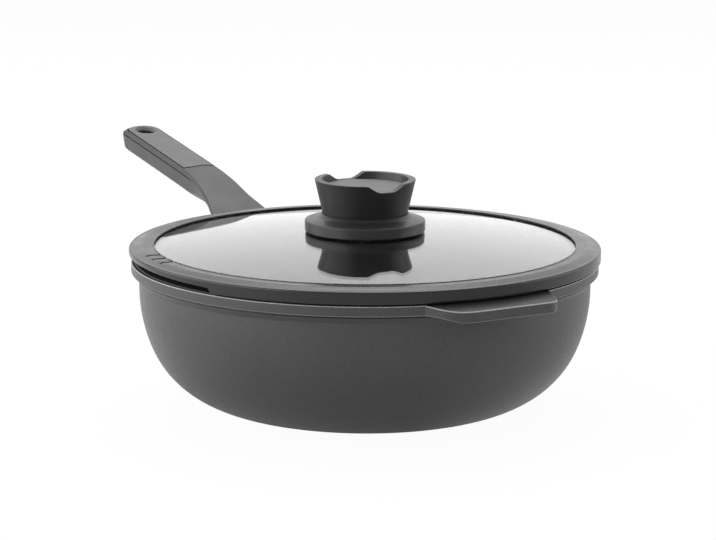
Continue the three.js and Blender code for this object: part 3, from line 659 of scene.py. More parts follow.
def paint_edge_wear_and_glint(pan):
    """Marks where the coating near the edges of the rim band and the tab is painted paler, as a highlight
    with some worn coating.
    """
    wear_and_glint = pan.data.attributes.new("edge_wear_and_glint", "FLOAT", "POINT")
    for index, vertex in enumerate(pan.data.vertices):
        x, y, z = vertex.co / MM
        radius = math.hypot(x, y)
        if radius < RIM_RADIUS - 2 or z < BAND_BOTTOM - 4:
            continue
        reach = tab_reach(math.atan2(y, x))
        lower, upper = edge_heights(reach)
        out = radius - RIM_RADIUS - reach
        below = LOWER_WEAR_AND_GLINT * ease((WEAR_AND_GLINT_REACH - math.hypot(out, z - lower)) / WEAR_AND_GLINT_FADE)
        above = ease((WEAR_AND_GLINT_REACH - math.hypot(out, z - upper)) / WEAR_AND_GLINT_FADE)
        wear_and_glint.data[index].value = max(below, above)


def in_bowl(face):
    """Whether a face of the pan is on its inside."""
    x, y, z = face.center / MM
    if math.hypot(x, y) > MOUTH_RADIUS + 0.4 or (z < BAND_BOTTOM and face.normal.z < 0.02):
        return False
    return face.normal.x * x + face.normal.y * y < 0 or face.normal.z > 0.9


def in_rim_painted_shade(face):
    """Whether a face of the pan's outside is on the rim under the lid, or in the groove under the band; these
    faces get near-black as painted shade.
    """
    x, y, z = face.center / MM
    radius = math.hypot(x, y)
    rise = z - BAND_BOTTOM
    under_lid = radius < RIM_RADIUS - 2 and rise > RIM_BAND - BAND_STEP - 0.1
    in_groove = RIM_RADIUS - BAND_GROOVE - 0.1 < radius < RIM_RADIUS - 0.8 and -1.3 < rise < -0.15
    return face.material_index == 0 and (under_lid or in_groove)


def make_pan():
    root = math.asin(TAB_ROOT_HALF / RIM_RADIUS) + TAB_MARGIN
    angles = [a for a in angles_round(ROUND_STEP) if abs(turn_from(a, math.pi)) > root]
    angles += [math.pi + side * a for side in (-1, 1) for a, _ in TAB_LINES[side] if a > 0 or side > 0]
    pan = polar("coated_pan", sorted(angles), pan_section)
    fit(pan, coating, "pan", "coated_pan", "wok_body")
    # Painted highlight: paler coating along the rim band's and the tab's edges.
    paint_edge_wear_and_glint(pan)
    refinish(pan, nonstick, in_bowl)
    # Painted shade: near-black on the rim under the lid and in the groove under the band.
    refinish(pan, gasket_rubber, in_rim_painted_shade)


def neck_frame():
    start = Vector((RIM_RADIUS, 0, CREASE_START)) * MM
    return Matrix.Translation(start) @ Matrix.Rotation(-NECK_RISE, 4, "Y")


def make_lug():
    """The cast lug that the handle is screwed to, inside the handle's root."""
    start = -RIM_OUT / math.cos(NECK_RISE)
    end = LUG_REACH / math.cos(NECK_RISE)
    half = LUG_WIDTH / 2
    outline = [
        (-half, -LUG_DEPTH - LUG / 2, EDGE),
        (half, -LUG_DEPTH - LUG / 2, EDGE),
        (half, -LUG_DEPTH + LUG / 2, EDGE),
        (-half, -LUG_DEPTH + LUG / 2, EDGE),
    ]
    section = rounded(outline, True)
    rows = [[(x, y, z) for y, z in section] for x in (start, (start + end) / 2, end)]
    lug = skin("handle_lug", rows, around=False, caps=(0, -1))
    lug.data.transform(neck_frame())
    fit(lug, coating, "pan", "coated_pan", "wok_body")


# Base plate, with the pan's metal showing through a pattern of round perforations


def socket_of(tree, name):
    return next(item.identifier for item in tree.interface.items_tree if item.name == name)


def repeat_tree(name, sizes):
    """A new tree, whose inputs are some sizes, a count and a material."""
    tree = bpy.data.node_groups.new(name, "GeometryNodeTree")
    face = tree.interface
    face.new_socket("Geometry", in_out="OUTPUT", socket_type="NodeSocketGeometry")
    for size in sizes:
        face.new_socket(size, in_out="INPUT", socket_type="NodeSocketFloat")
    face.new_socket("Count", in_out="INPUT", socket_type="NodeSocketInt")
    face.new_socket("Material", in_out="INPUT", socket_type="NodeSocketMaterial")
    return tree, add(tree, "NodeGroupInput").outputs


def put_rods(tree, given, points, sides, radius, length):
    """Ends a tree with an upright rod on each point, lifted, made real and given its material."""
    link = tree.links.new
    rod = add(tree, "GeometryNodeMeshCylinder", {"Vertices": sides})
    link(radius, rod.inputs["Radius"])
    link(length, rod.inputs["Depth"])
    instances = add(tree, "GeometryNodeInstanceOnPoints")
    link(points, instances.inputs["Points"])
    link(rod.outputs["Mesh"], instances.inputs["Instance"])
    lift = add(tree, "ShaderNodeCombineXYZ")
    link(given["Lift"], lift.inputs["Z"])
    raised = add(tree, "GeometryNodeTranslateInstances")
    link(instances.outputs[0], raised.inputs["Instances"])
    link(lift.outputs[0], raised.inputs["Translation"])
    real = add(tree, "GeometryNodeRealizeInstances")
    link(raised.outputs[0], real.inputs[0])
    painted = add(tree, "GeometryNodeSetMaterial")
    link(real.outputs[0], painted.inputs["Geometry"])
    link(given["Material"], painted.inputs["Material"])
    link(painted.outputs[0], add(tree, "NodeGroupOutput").inputs[0])


def dot_tree():
    """Short round dots on a staggered grid, kept inside a circle."""
    tree, given = repeat_tree("base_dots", ("Pitch", "Dot radius", "Dot height", "Field radius", "Lift"))
    link = tree.links.new
    count = given["Count"]
    grid = add(tree, "GeometryNodeMeshGrid", {"Size X": 1.0, "Size Y": 1.0})
    link(count, grid.inputs["Vertices X"])
    link(count, grid.inputs["Vertices Y"])
    index = add(tree, "GeometryNodeInputIndex").outputs[0]
    row = compute(tree, "MODULO", index, count)
    column = compute(tree, "FLOOR", compute(tree, "DIVIDE", index, count))
    stagger = compute(tree, "MULTIPLY_ADD", compute(tree, "MODULO", row, 2.0), 0.5, column)
    middle = compute(tree, "MULTIPLY_ADD", count, 0.5, -0.25)
    along = compute(tree, "SUBTRACT", row, middle)
    cell = add(tree, "ShaderNodeCombineXYZ")
    link(compute(tree, "SUBTRACT", stagger, middle), cell.inputs["X"])
    link(compute(tree, "MULTIPLY", along, math.sqrt(0.75)), cell.inputs["Y"])
    spot = add(tree, "ShaderNodeVectorMath", operation="SCALE")
    link(cell.outputs[0], spot.inputs[0])
    link(given["Pitch"], spot.inputs["Scale"])
    placed = add(tree, "GeometryNodeSetPosition")
    link(grid.outputs["Mesh"], placed.inputs["Geometry"])
    link(spot.outputs[0], placed.inputs["Position"])
    distance = add(tree, "ShaderNodeVectorMath", operation="LENGTH")
    link(add(tree, "GeometryNodeInputPosition").outputs[0], distance.inputs[0])
    outside = add(tree, "FunctionNodeCompare", data_type="FLOAT", operation="GREATER_THAN")
    link(distance.outputs["Value"], outside.inputs[0])
    link(given["Field radius"], outside.inputs[1])
    kept = add(tree, "GeometryNodeDeleteGeometry", domain="POINT")
    link(placed.outputs[0], kept.inputs["Geometry"])
    link(outside.outputs[0], kept.inputs["Selection"])
    put_rods(tree, given, kept.outputs[0], DOT_SIDES, given["Dot radius"], given["Dot height"])
    return tree


def ridge_tree():
    """Upright ridges set round a turned piece, as a knurl."""
    tree, given = repeat_tree("knurl_ridges", ("Radius", "Ridge width", "Ridge length", "Lift"))
    circle = add(tree, "GeometryNodeMeshCircle")
    tree.links.new(given["Count"], circle.inputs["Vertices"])
    tree.links.new(given["Radius"], circle.inputs["Radius"])
    put_rods(tree, given, circle.outputs["Mesh"], RIDGE_SIDES, given["Ridge width"], given["Ridge length"])
    return tree


def grown(name, tree, values):
    """An object whose mesh a node tree has made, as a plain mesh."""
    piece = bpy.data.objects.new(name, bpy.data.meshes.new(name))
    bpy.context.scene.collection.objects.link(piece)
    nodes = piece.modifiers.new(name, "NODES")
    nodes.node_group = tree
    for key, value in values.items():
        nodes[socket_of(tree, key)] = value
    bpy.context.view_layer.update()
    plain_copy(piece)
    return piece


def make_plate():
    corners = [
        (0, PLATE_SUNK, 0),
        (PLATE_RADIUS, PLATE_SUNK, 0.3),
        (PLATE_RADIUS, PLATE, 0.3),
        (0, PLATE, 0),
    ]
    plate = lathe("steel_plate", corners, ROUND_STEP, False)
    fit(plate, plate_steel, "pan", "base_steel", "induction_plate")
    sizes = {
        "Pitch": DOT_PITCH * MM,
        "Dot radius": DOT_RADIUS * MM,
        "Dot height": DOT_HEIGHT * MM,
        "Field radius": (PLATE_RADIUS - DOT_MARGIN) * MM,
        "Lift": DOT_LIFT * MM,
        "Count": DOT_ROWS,
        "Material": base_aluminium,
    }
    fit(grown("plate_dots", dot_tree(), sizes), base_aluminium, "pan", "base_steel")


# Handle


def crease_height(x):
    """Height of the crease along the handle's side, at a distance from the pan's axis."""
    rise = math.tan(NECK_RISE)
    neck = CREASE_START + rise * (x - RIM_RADIUS)
    bend = CREASE_START + rise * BEND_REACH
    grip = bend + math.tan(GRIP_RISE) * (x - RIM_RADIUS - BEND_REACH)
    return (neck + grip - math.hypot(neck - grip, BEND_EASE)) / 2


def section_at(x):
    """Sizes of the handle's section, blended from the root to the neck and on to the grip."""
    reach = x - RIM_RADIUS
    if reach < NECK_REACH:
        share = reach / NECK_REACH
        sizes = {key: lerp(ROOT[key], NECK[key], ease(share)) for key in ROOT}
        sizes["half"] = lerp(ROOT["half"], NECK["half"], share)
        sizes["grip"] = 0.0
        return sizes
    share = min(1, (reach - NECK_REACH) / (GRIP_REACH - NECK_REACH))
    sizes = {key: lerp(NECK[key], GRIP[key], ease(share)) for key in ROOT}
    sizes["half"] = lerp(GRIP["half"], NECK["half"], (1 - share) ** 2)
    sizes["grip"] = ease(share * 2 - 1)
    return sizes


def crown(y, shoulder):
    return CROWN * (1 - (y / shoulder) ** 2)


def half_section(x):
    """One side of the handle's section from the top middle to the bottom middle, in Y and Z."""
    size = section_at(x)
    shoulder = size["half"] - size["inset"]
    outline = []
    for i in range(CROWN_STEPS):
        y = shoulder * i / CROWN_STEPS
        outline.append((y, size["drop"] + crown(y, shoulder)))
    groove = 0.1 + SEAM_GROOVE * size["grip"]
    lip = 0.1 + 0.45 * size["grip"]
    half = size["half"]
    side = [
        (outline[-1][0], outline[-1][1], 0),
        (shoulder, size["drop"], 0.35),
        (half, lip, 0.3),
        (half - groove, 0, 0.15),
        (half, -lip, 0.3),
        (half - size["tuck"], -size["edge"], 1.6),
        (size["keel_half"], -size["keel"], 3),
        (0, -size["keel"], 0),
    ]
    return outline[:-1] + rounded(side)


def whole_ring(half):
    """A closed ring from one side's points, which start and end in the middle."""
    other = [(x, -y, z) for x, y, z in half[1:-1]]
    return half + other[::-1]


def plain_ring(x):
    height = crease_height(x)
    return whole_ring([(x, y, height + z) for y, z in half_section(x)])


def root_ring():
    """The handle's root, which follows the rim band at a small distance."""
    band = RIM_RADIUS + ROOT_GAP
    half = []
    for y, z in half_section(band):
        x = math.sqrt(band**2 - y**2)
        half.append((x, y, crease_height(x) + z))
    return whole_ring(half)


def tip_ring(share):
    """A ring of the rounded tip: the grip's section turned about an upright line."""
    turn = share * math.pi / 2
    half = []
    for y, z in half_section(TIP_START):
        top = ease((z - 1) / (GRIP["drop"] - 1))
        power = lerp(TIP_POWER, TIP_TOP_POWER, top)
        along = math.sin(turn) ** (2 / power)
        across = max(0.0, math.cos(turn)) ** (2 / power)
        out = (y / GRIP["half"]) ** lerp(TIP_FILL, 1, top)
        x = TIP_START + TIP_LENGTH * along * out
        half.append((x, y * across, crease_height(x) + z))
    return whole_ring(half)


def handle_skin(name):
    start = RIM_RADIUS + ROOT_BLEND
    count = round((TIP_START - start) / HANDLE_STEP)
    rings = [root_ring()]
    rings += [plain_ring(lerp(start, TIP_START, i / count)) for i in range(count)]
    rings += [tip_ring(i / TIP_STEPS) for i in range(TIP_STEPS + 1)]
    return skin(name, rings, around=False, caps=(0,))


def grip_top(x, y):
    shoulder = GRIP["half"] - GRIP["inset"]
    return crease_height(x) + GRIP["drop"] + crown(y, shoulder)


def pad_points(plan, inside, lift):
    """Points over the soft pad's plan: u runs from the wavy front to the tip, v from side to side."""
    half = GRIP["half"] - inside
    front_middle = RIM_RADIUS + PAD_REACH + inside - GRIP["inset"] - PAD_MARGIN
    points = []
    for u, v in plan:
        front = front_middle - PAD_WAVE * math.sin(math.pi * v) / 2
        roundness = max(0.0, 1 - abs(v) ** TIP_TOP_POWER) ** (1 / TIP_TOP_POWER)
        x = lerp(front, TIP_START + (TIP_LENGTH - inside) * roundness, u)
        y = half * v
        points.append((x, y, grip_top(x, y) + lift))
    return points


def pad_solid(name, inside, top, bottom, edge):
    """The soft pad, or a larger copy that cuts its pocket: rounded edges and a flat bottom."""
    along = [i / PAD_ROWS for i in range(PAD_ROWS + 1)]
    across = [math.sin(math.pi / 2 * (i / PAD_HALF_COLUMNS - 1)) for i in range(2 * PAD_HALF_COLUMNS + 1)]
    loop = [(0, v) for v in across[:-1]]
    loop += [(u, 1) for u in along[:-1]]
    loop += [(1, v) for v in across[:0:-1]]
    loop += [(u, -1) for u in along[:0:-1]]
    plan = [(u, v) for u in along for v in across]
    bevel = 0.3 * edge
    levels = ((0, bottom), (0, top - edge), (bevel, top - bevel), (edge, top))
    points = []
    for inset, lift in levels:
        points += pad_points(loop, inside + inset, lift)
    faces = quads(len(levels), len(loop), False, True)
    for inset, lift in (levels[0], levels[-1]):
        faces += quads(len(along), len(across), False, False, len(points))
        points += pad_points(plan, inside + inset, lift)
    return mesh_object(name, points, faces)


def hang_cutter(name):
    """An upright hole through the grip's end, with a chamfer at its upper edge."""
    x = TIP_X - HANG_BACK
    top = grip_top(x, 0)
    depth, height = HANG_CUT
    wide = HANG_HOLE + HANG_CHAMFER
    corners = [
        (0, -depth),
        (HANG_HOLE, -depth),
        (HANG_HOLE, -HANG_CHAMFER - 0.6),
        (HANG_HOLE + 0.2, -HANG_CHAMFER),
        (wide, -0.1),
        (wide + 0.3, 0.15),
        (wide + 0.3, height),
        (0, height),
    ]
    cutter = polar(name, angles_round(SMALL_STEP), lambda angle: corners)
    cutter.data.transform(Matrix.Translation(Vector((x, 0, top)) * MM) @ Matrix.Rotation(-GRIP_RISE, 4, "Y"))
    return cutter


def in_hang_hole_painted_shade(face):
    """Whether a face of the handle is on the wall of the hang hole, in the shade of the grip; these faces get
    near-black as painted shade.
    """
    across = math.hypot(face.center.x / MM - (TIP_X - HANG_BACK), face.center.y / MM)
    return across < HANG_HOLE + 1.5 and abs(face.normal.z) < 0.6


def on_side_painted_shade(face):
    """Whether a face of the soft pad is on its sides, which show only in its seam and get near-black as
    painted shade.
    """
    return face.normal.z < 0.5


def make_handle():
    inside = GRIP["inset"] + PAD_MARGIN
    body = handle_skin("handle_shell")
    cut(body, pad_solid("pocket", inside - PAD_SEAM, POCKET_TOP, -PAD_DEPTH - POCKET_FLOOR, POCKET_ROUND))
    cut(body, hang_cutter("body_hole"))
    fit(body, handle_moulding, "pan", "handle_moulding", "handle_body")
    # Painted shade: near-black on the wall of the hang hole.
    refinish(body, gasket_rubber, in_hang_hole_painted_shade)
    pad = pad_solid("grip_pad", inside, PAD_PROUD, -PAD_DEPTH, PAD_ROUND)
    cut(pad, hang_cutter("pad_hole"))
    fit(pad, soft_touch, "pan", "soft_pad", "handle_top_insert")
    # Painted shade: near-black on the soft pad's sides, which show in its seam.
    refinish(pad, gasket_rubber, on_side_painted_shade)


# Screws and washers


def screw_piece(name, head, head_height, shank, head_top, end):
    """A pan-head screw along Z, head down, with a cross recess and rolled thread ridges."""
    bottom = head_top - head_height
    corners = [(0, bottom, 0), (head, bottom, 1.1), (head, head_top, 0.3), (shank, head_top, 0.2)]
    height = head_top + THREAD_START
    while height + THREAD_PITCH < end - 1:
        corners.append((shank - THREAD_RIDGE, height, 0.12))
        corners.append((shank, height + THREAD_PITCH / 2, 0.12))
        height += THREAD_PITCH
    corners += [(shank - 0.3, end - 0.5, 0.2), (shank - 0.8, end, 0.2), (0, end, 0)]
    piece = lathe(name, corners, SMALL_STEP * 2, False)
    long, wide = RECESS_HALF
    cross = ((-long, -wide), (long, -wide), (long, wide), (-long, wide))
    size = Matrix.Diagonal((head, head, head_height, 1))
    for turn in (0, math.pi / 2):
        rows = [[(x, y, z) for x, y in cross] for z in (-1, RECESS_DEPTH)]
        blade = skin(name + "_blade", rows, around=False, caps=(0, -1))
        blade.data.transform(Matrix.Translation((0, 0, bottom * MM)) @ Matrix.Rotation(turn, 4, "Z") @ size)
        cut(piece, blade)
    return piece


def ring_corners(inner, outer, bottom, top, edge):
    return [(inner, bottom, edge), (outer, bottom, edge), (outer, top, edge), (inner, top, edge)]


def make_handle_fixing():
    place = neck_frame() @ Matrix.Translation((HANDLE_SCREW_REACH / math.cos(NECK_RISE) * MM, 0, 0))
    seat = -(LUG_DEPTH + LUG / 2 + GAP + HANDLE_SEAT) - GAP
    low = seat - HANDLE_WASHER
    ring = ring_corners(HANDLE_SCREW + GAP, HANDLE_SCREW_HEAD, low, seat, 0.15)
    washer = lathe("neck_washer", ring, SMALL_STEP)
    washer.data.transform(place)
    fit(washer, fixing_steel, "pan", "fixing_steel", "handle_washer")
    end = HANDLE_SCREW_BITE - LUG_DEPTH - LUG / 2
    head = HANDLE_SCREW_HEAD
    screw = screw_piece("neck_screw", head, HANDLE_SCREW_HEAD_HEIGHT, HANDLE_SCREW, low - GAP, end)
    screw.data.transform(place)
    fit(screw, fixing_steel, "pan", "fixing_steel", "handle_screw")


# Lid


def dome_height(radius):
    return DOME_TOP - GLASS_DOME + math.sqrt(GLASS_DOME**2 - radius**2)


def glass_edge(radius, side, first, last):
    """The rounded edge of the glass at a radius, from face to face. side points into the glass."""
    corners = [
        (first[0] + side, first[1], 0),
        (radius, first[1], GLASS_EDGE),
        (radius, last[1], GLASS_EDGE),
        (last[0] + side, last[1], 0),
    ]
    return rounded(corners)[1:-1]


def make_glass():
    low = GLASS_HOLE + GLASS_EDGE
    high = GLASS_RADIUS - GLASS_EDGE
    radii = [lerp(low, high, i / DOME_STEPS) for i in range(DOME_STEPS + 1)]
    under = [(r, dome_height(r) - GLASS) for r in radii]
    over = [(r, dome_height(r)) for r in radii[::-1]]
    outer = glass_edge(GLASS_RADIUS, -1, under[-1], over[0])
    inner = glass_edge(GLASS_HOLE, 1, over[-1], under[0])
    section = under[1:-1] + outer + over[1:-1] + inner
    glass = polar("glass_dome", angles_round(ROUND_STEP), lambda angle: section)
    fit(glass, clear_glass, "lid_pane", "lid_glass", "lid_glass")


def slot_share(angle):
    """1 inside the steam slot, 0 outside it, with a short ramp at its ends."""
    off = abs(turn_from(angle, math.pi / 2))
    return ease((SLOT_HALF_ANGLE + SLOT_RAMP / 2 - off) / SLOT_RAMP)


def tick_share(angle, radius):
    """How deep a point of the rim's top lies in one of the three ticks, from 0 to 1."""
    share = 0.0
    for place in (-1, 0, 1):
        off = abs(turn_from(angle, math.pi / 2 + place * TICK_ANGLE)) * radius
        share = max(share, ease((TICK_WIDTH / 2 - off) / (TICK_WIDTH / 4)))
    return share * ease((LIP_RADIUS + TICK_LENGTH - radius) / 0.8)


def rim_section(angle):
    """The silicone rim's section, which changes at the steam slot and the ticks."""
    slot = slot_share(angle)
    skirt_outer = MOUTH_RADIUS - SKIRT_CLEARANCE
    skirt_bottom = REST_PLANE - SKIRT_DEPTH
    lip_bottom = REST_PLANE - LOWER_LIP
    side_top = REST_PLANE + LID_SIDE
    off = abs(turn_from(angle, math.pi / 2)) / SLOT_HALF_ANGLE
    slot_top = REST_PLANE + lerp(SLOT_HEIGHT, SLOT_END, min(1, off)) * slot
    slot_wall = lerp(skirt_outer, skirt_outer - SLOT_BITE, slot)
    top = side_top + TOP_RISE
    lip_top = top + LIP_HEIGHT
    bead_top = lip_top + BEAD_HEIGHT
    groove = GLASS_RADIUS + GAP
    inner = LIP_RADIUS - EDGE
    slope_foot = LIP_RADIUS + LIP_WIDTH + LIP_SLOPE
    lower_inner = lerp(skirt_outer - SKIRT, inner + 0.6, slot)
    lower = lerp(skirt_bottom, lip_bottom, slot)
    corners = [
        (lower_inner, lower, 0.5),
        (slot_wall, lower, 0.7),
        (slot_wall, slot_top, 0.4),
        (LID_RADIUS, slot_top, 1.2),
        (LID_RADIUS, side_top, 1.7),
    ]
    for i in range(1, RIM_TOP_STEPS):
        share = i / RIM_TOP_STEPS
        corners.append((lerp(LID_RADIUS - 2, slope_foot + 0.3, share), lerp(side_top, top, share), 0))
    corners += [
        (slope_foot, top, 0.8),
        (LIP_RADIUS + LIP_WIDTH, lip_top, 0.5),
        (LIP_RADIUS + BEAD_WIDTH, lip_top, 0.1),
        (LIP_RADIUS + BEAD_WIDTH - 0.1, bead_top, 0.2),
        (LIP_RADIUS, bead_top, 0.6),
        (LIP_RADIUS, dome_height(LIP_RADIUS) + GAP, 0.15),
        (groove, dome_height(groove) + GAP, 0.2),
        (groove, dome_height(groove) - GLASS - GAP, 0.2),
        (inner, dome_height(inner) - GLASS - GAP, 0.3),
        (inner, REST_PLANE, 0.4),
    ]
    section = []
    for radius, height in rounded(corners, True):
        tick_floor = dome_height(radius) + GAP + TICK_FLOOR
        if height > tick_floor and LIP_RADIUS <= radius < LIP_RADIUS + TICK_LENGTH:
            height = max(tick_floor, height - TICK_DEPTH * tick_share(angle, radius))
        section.append((radius, height))
    return section


def in_lid_painted_shade(face):
    """Whether a face of the lid rim is in a tick, or on the lip's wall over the glass; these faces get
    near-black as painted shade.
    """
    x, y, z = face.center / MM
    radius = math.hypot(x, y)
    inward = -(face.normal.x * x + face.normal.y * y) / radius
    on_wall = inward > 0.9 and radius < LIP_RADIUS + 0.3 and z > dome_height(LIP_RADIUS)
    share = tick_share(math.atan2(y, x) - LID_ANGLE, radius)
    in_tick = z > REST_PLANE + LID_SIDE - TICK_DEPTH and share > 0.3
    return on_wall or in_tick


def make_rim():
    middle = math.pi / 2
    dense = []
    for side in (-1, 1):
        end = middle + side * SLOT_HALF_ANGLE
        dense.append((end - SLOT_RAMP, end + SLOT_RAMP, SLOT_STEP))
    for place in (-1, 0, 1):
        tick = middle + place * TICK_ANGLE
        dense.append((tick - TICK_SPAN, tick + TICK_SPAN, TICK_STEP))
    rim = polar("silicone_rim", angles_round(ROUND_STEP, *dense), rim_section, LID_ANGLE)
    fit(rim, silicone, "lid_frame", "silicone", "lid_rim")
    # Painted shade: near-black in the ticks and on the lip's wall over the glass.
    refinish(rim, gasket_rubber, in_lid_painted_shade)


# Knob


def make_flange():
    inner = BOSS_RADIUS + GAP
    under = FLANGE_BOTTOM + FLANGE_RECESS
    side_top = FLANGE_BOTTOM + FLANGE_SIDE
    spigot = KNOB_CAVITY - GAP
    corners = [
        (inner, under, 0.2),
        (FLANGE_RADIUS - FLANGE_WALL, under, 0.2),
        (FLANGE_RADIUS - FLANGE_WALL, FLANGE_BOTTOM, 0.3),
        (FLANGE_RADIUS, FLANGE_BOTTOM, 0.9),
        (FLANGE_RADIUS, side_top, 0.9),
        (KNOB_NECK + FOOT_FILLET, lerp(side_top, FLANGE_TOP, 0.8), 4),
        (KNOB_NECK + 0.9, FLANGE_TOP + 1.3, 0.1),
        (KNOB_NECK + 0.6, FLANGE_TOP + 1.3, 0.1),
        (KNOB_NECK + 0.3, FLANGE_TOP, 0.1),
        (spigot, FLANGE_TOP, 0.2),
        (spigot, FLANGE_TOP + SPIGOT, 0.4),
        (inner, FLANGE_TOP + SPIGOT, 0.3),
    ]
    flange = lathe("knob_foot", corners, KNOB_STEP)
    fit(flange, foot_moulding, "lid_frame", "knob_moulding", "knob_flange")


def notch_height(offset):
    """Height of the spoon notch at a distance from its middle line."""
    width = NOTCH_ROUND + (NOTCH_TOP - NOTCH_BOTTOM) / 2
    share = clamp((abs(offset) - NOTCH_BOTTOM / 2 + NOTCH_ROUND) / width)
    return DISH_FLOOR + DISH_DEPTH * share**NOTCH_CURVE


def grip_section(angle):
    """The knob's section: hollow below with a threaded boss, and a dish whose rim the notches cut."""
    bore = THREAD_OUTER + GAP
    bore_top = THREAD_BOTTOM + THREAD_LENGTH + GAP
    ceiling = PAD_SEAT - KNOB_CEILING
    dish = KNOB_TOP - KNOB_RIM
    across = abs(math.sin(angle - NOTCH_TURN))
    outer_top = notch_height(KNOB_TOP * across)
    inner_top = notch_height(dish * across) + 0.06
    outer = lerp(KNOB_NECK, KNOB_TOP, (outer_top - GRIP_BOTTOM) / KNOB_HEIGHT)
    inner = dish - DISH_TAPER * (GRIP_TOP - inner_top) / DISH_DEPTH
    floor = dish - DISH_TAPER - 0.05
    corners = [
        (0, bore_top, 0),
        (bore, bore_top, 0.2),
        (bore, THREAD_BOTTOM, 0.2),
        (BOSS_RADIUS, THREAD_BOTTOM, 0.3),
        (BOSS_RADIUS, ceiling, 0.4),
        (KNOB_CAVITY, ceiling, 0.6),
        (KNOB_CAVITY, GRIP_BOTTOM, 0.3),
        (KNOB_NECK, GRIP_BOTTOM, 0.5),
        (outer, outer_top, 0.45),
        (inner, inner_top, 0.35),
        (floor, DISH_FLOOR - 0.1, 0.3),
        (floor, PAD_SEAT, 0.2),
        (0, PAD_SEAT, 0),
    ]
    return rounded(corners)


def make_grip():
    reach = math.asin(NOTCH_TOP / 2 / (KNOB_TOP - KNOB_RIM - DISH_TAPER)) + math.radians(1)
    back = reach + NOTCH_TURN
    front = reach - NOTCH_TURN
    dense = [
        (math.pi - front, math.pi + back, NOTCH_STEP),
        (0, back, NOTCH_STEP),
        (2 * math.pi - front, 2 * math.pi - NOTCH_STEP, NOTCH_STEP),
    ]
    grip = polar("knob_cup", angles_round(KNOB_STEP, *dense), grip_section, LID_ANGLE)
    fit(grip, knob_moulding, "lid_frame", "knob_moulding", "knob_grip")


def make_knob_inside():
    radius = KNOB_TOP - KNOB_RIM - DISH_TAPER - GAP
    corners = [
        (0, DISH_FLOOR - PAD, 0),
        (radius, DISH_FLOOR - PAD, 0.2),
        (radius, DISH_FLOOR, 0.5),
        (0, DISH_FLOOR, 0),
    ]
    pad = lathe("dish_pad", corners, KNOB_STEP, False)
    fit(pad, soft_touch, "lid_frame", "soft_pad", "knob_top_insert")

    top = THREAD_BOTTOM + THREAD_LENGTH
    core = ring_corners(KNOB_SCREW + GAP, THREAD_OUTER - 0.3, THREAD_BOTTOM, top, 0.2)
    sleeve = lathe("thread_sleeve", core, SMALL_STEP)
    fit(sleeve, thread_brass, "lid_frame", "thread_brass", "knob_thread_insert")
    sizes = {
        "Radius": (THREAD_OUTER - 0.4) * MM,
        "Ridge width": RIDGE_WIDTH * MM,
        "Ridge length": (THREAD_LENGTH - 2) * MM,
        "Lift": (THREAD_BOTTOM + THREAD_LENGTH / 2) * MM,
        "Count": RIDGE_COUNT,
        "Material": thread_brass,
    }
    fit(grown("thread_knurl", ridge_tree(), sizes), thread_brass, "lid_frame", "thread_brass")

    outer = FLANGE_RADIUS - FLANGE_WALL - GAP
    gasket = [
        (GLASS_HOLE, dome_height(GLASS_HOLE) + GAP, 0.2),
        (outer, dome_height(outer) + GAP, 0.3),
        (outer, FLANGE_BOTTOM + FLANGE_RECESS - GAP, 0.3),
        (GLASS_HOLE, FLANGE_BOTTOM + FLANGE_RECESS - GAP, 0.2),
    ]
    upper = lathe("upper_gasket", gasket, KNOB_STEP)
    fit(upper, gasket_rubber, "lid_frame", "gasket_rubber", "knob_gasket_upper")

    collar = GLASS_HOLE - GAP
    rim_top = dome_height(GASKET_RADIUS) - GLASS - GAP
    gasket = [
        (collar - COLLAR, GASKET_TOP - GASKET, 0.2),
        (GASKET_RADIUS, GASKET_TOP - GASKET, 0.4),
        (GASKET_RADIUS, rim_top, 0.4),
        (collar, rim_top, 0.2),
        (collar, DOME_TOP - GAP, 0.2),
        (collar - COLLAR, DOME_TOP - GAP, 0.2),
    ]
    lower = lathe("lower_gasket", gasket, KNOB_STEP)
    fit(lower, gasket_rubber, "lid_frame", "gasket_rubber", "knob_gasket_lower")

    disc = ring_corners(KNOB_SCREW + GAP, KNOB_WASHER_RADIUS, WASHER_TOP - KNOB_WASHER, WASHER_TOP, 0.2)
    fit(lathe("glass_washer", disc, KNOB_STEP), fixing_steel, "lid_frame", "fixing_steel", "knob_washer")

    end = THREAD_BOTTOM + KNOB_SCREW_BITE
    screw = screw_piece("lid_screw", KNOB_SCREW_HEAD, KNOB_SCREW_HEAD_HEIGHT, KNOB_SCREW, KNOB_HEAD_TOP, end)
    fit(screw, fixing_steel, "lid_frame", "fixing_steel", "knob_screw")


# Studio


TO_CAMERA = Vector((-0.8577, 0.5141, 0))  # level direction from the pan to the camera
CAMERA_DISTANCE = 1.577
CAMERA_HEIGHT = 0.399
CAMERA_YAW = 0.0027  # radians to the left
CAMERA_PITCH = 0.1980  # radians down
CAMERA_ROLL = 0.0038
LENS = 129.8
# Soft light of the surround: degrees to the left of the camera seen from the pan, degrees up, and level
SOFT_LIGHT = (
    (0, 15, 0.35),
    (60, 15, 0.75),
    (120, 15, 0.55),
    (180, 15, 0.55),
    (240, 15, 0.8),
    (300, 15, 0.3),
    (0, 90, 0.5),
)
FLOOR_SEEN = 0.96  # share of plain white in the floor where it is seen
FLOOR_MIRRORED = 0.25, 1.0  # and where it is mirrored, on its dim left and on its bright right, a painted pool of light that the pan mirrors low on its right
FLOOR_BRIGHTENS = 0.03, 0.13  # metres to the right of the pan's middle between which it brightens
FLOOR_RADIUS = 9000
SOFTNESS = 3.0  # power of the cosine with which a soft light fades to its sides
AIM = Vector((0, 0, 0.08))  # what the boxes point at


def studio_direction(turn, rise):
    """The direction from the pan that lies some degrees to the camera's left and up."""
    level = Matrix.Rotation(-math.radians(turn), 3, "Z") @ TO_CAMERA.normalized()
    return level * math.cos(math.radians(rise)) + Vector((0, 0, math.sin(math.radians(rise))))


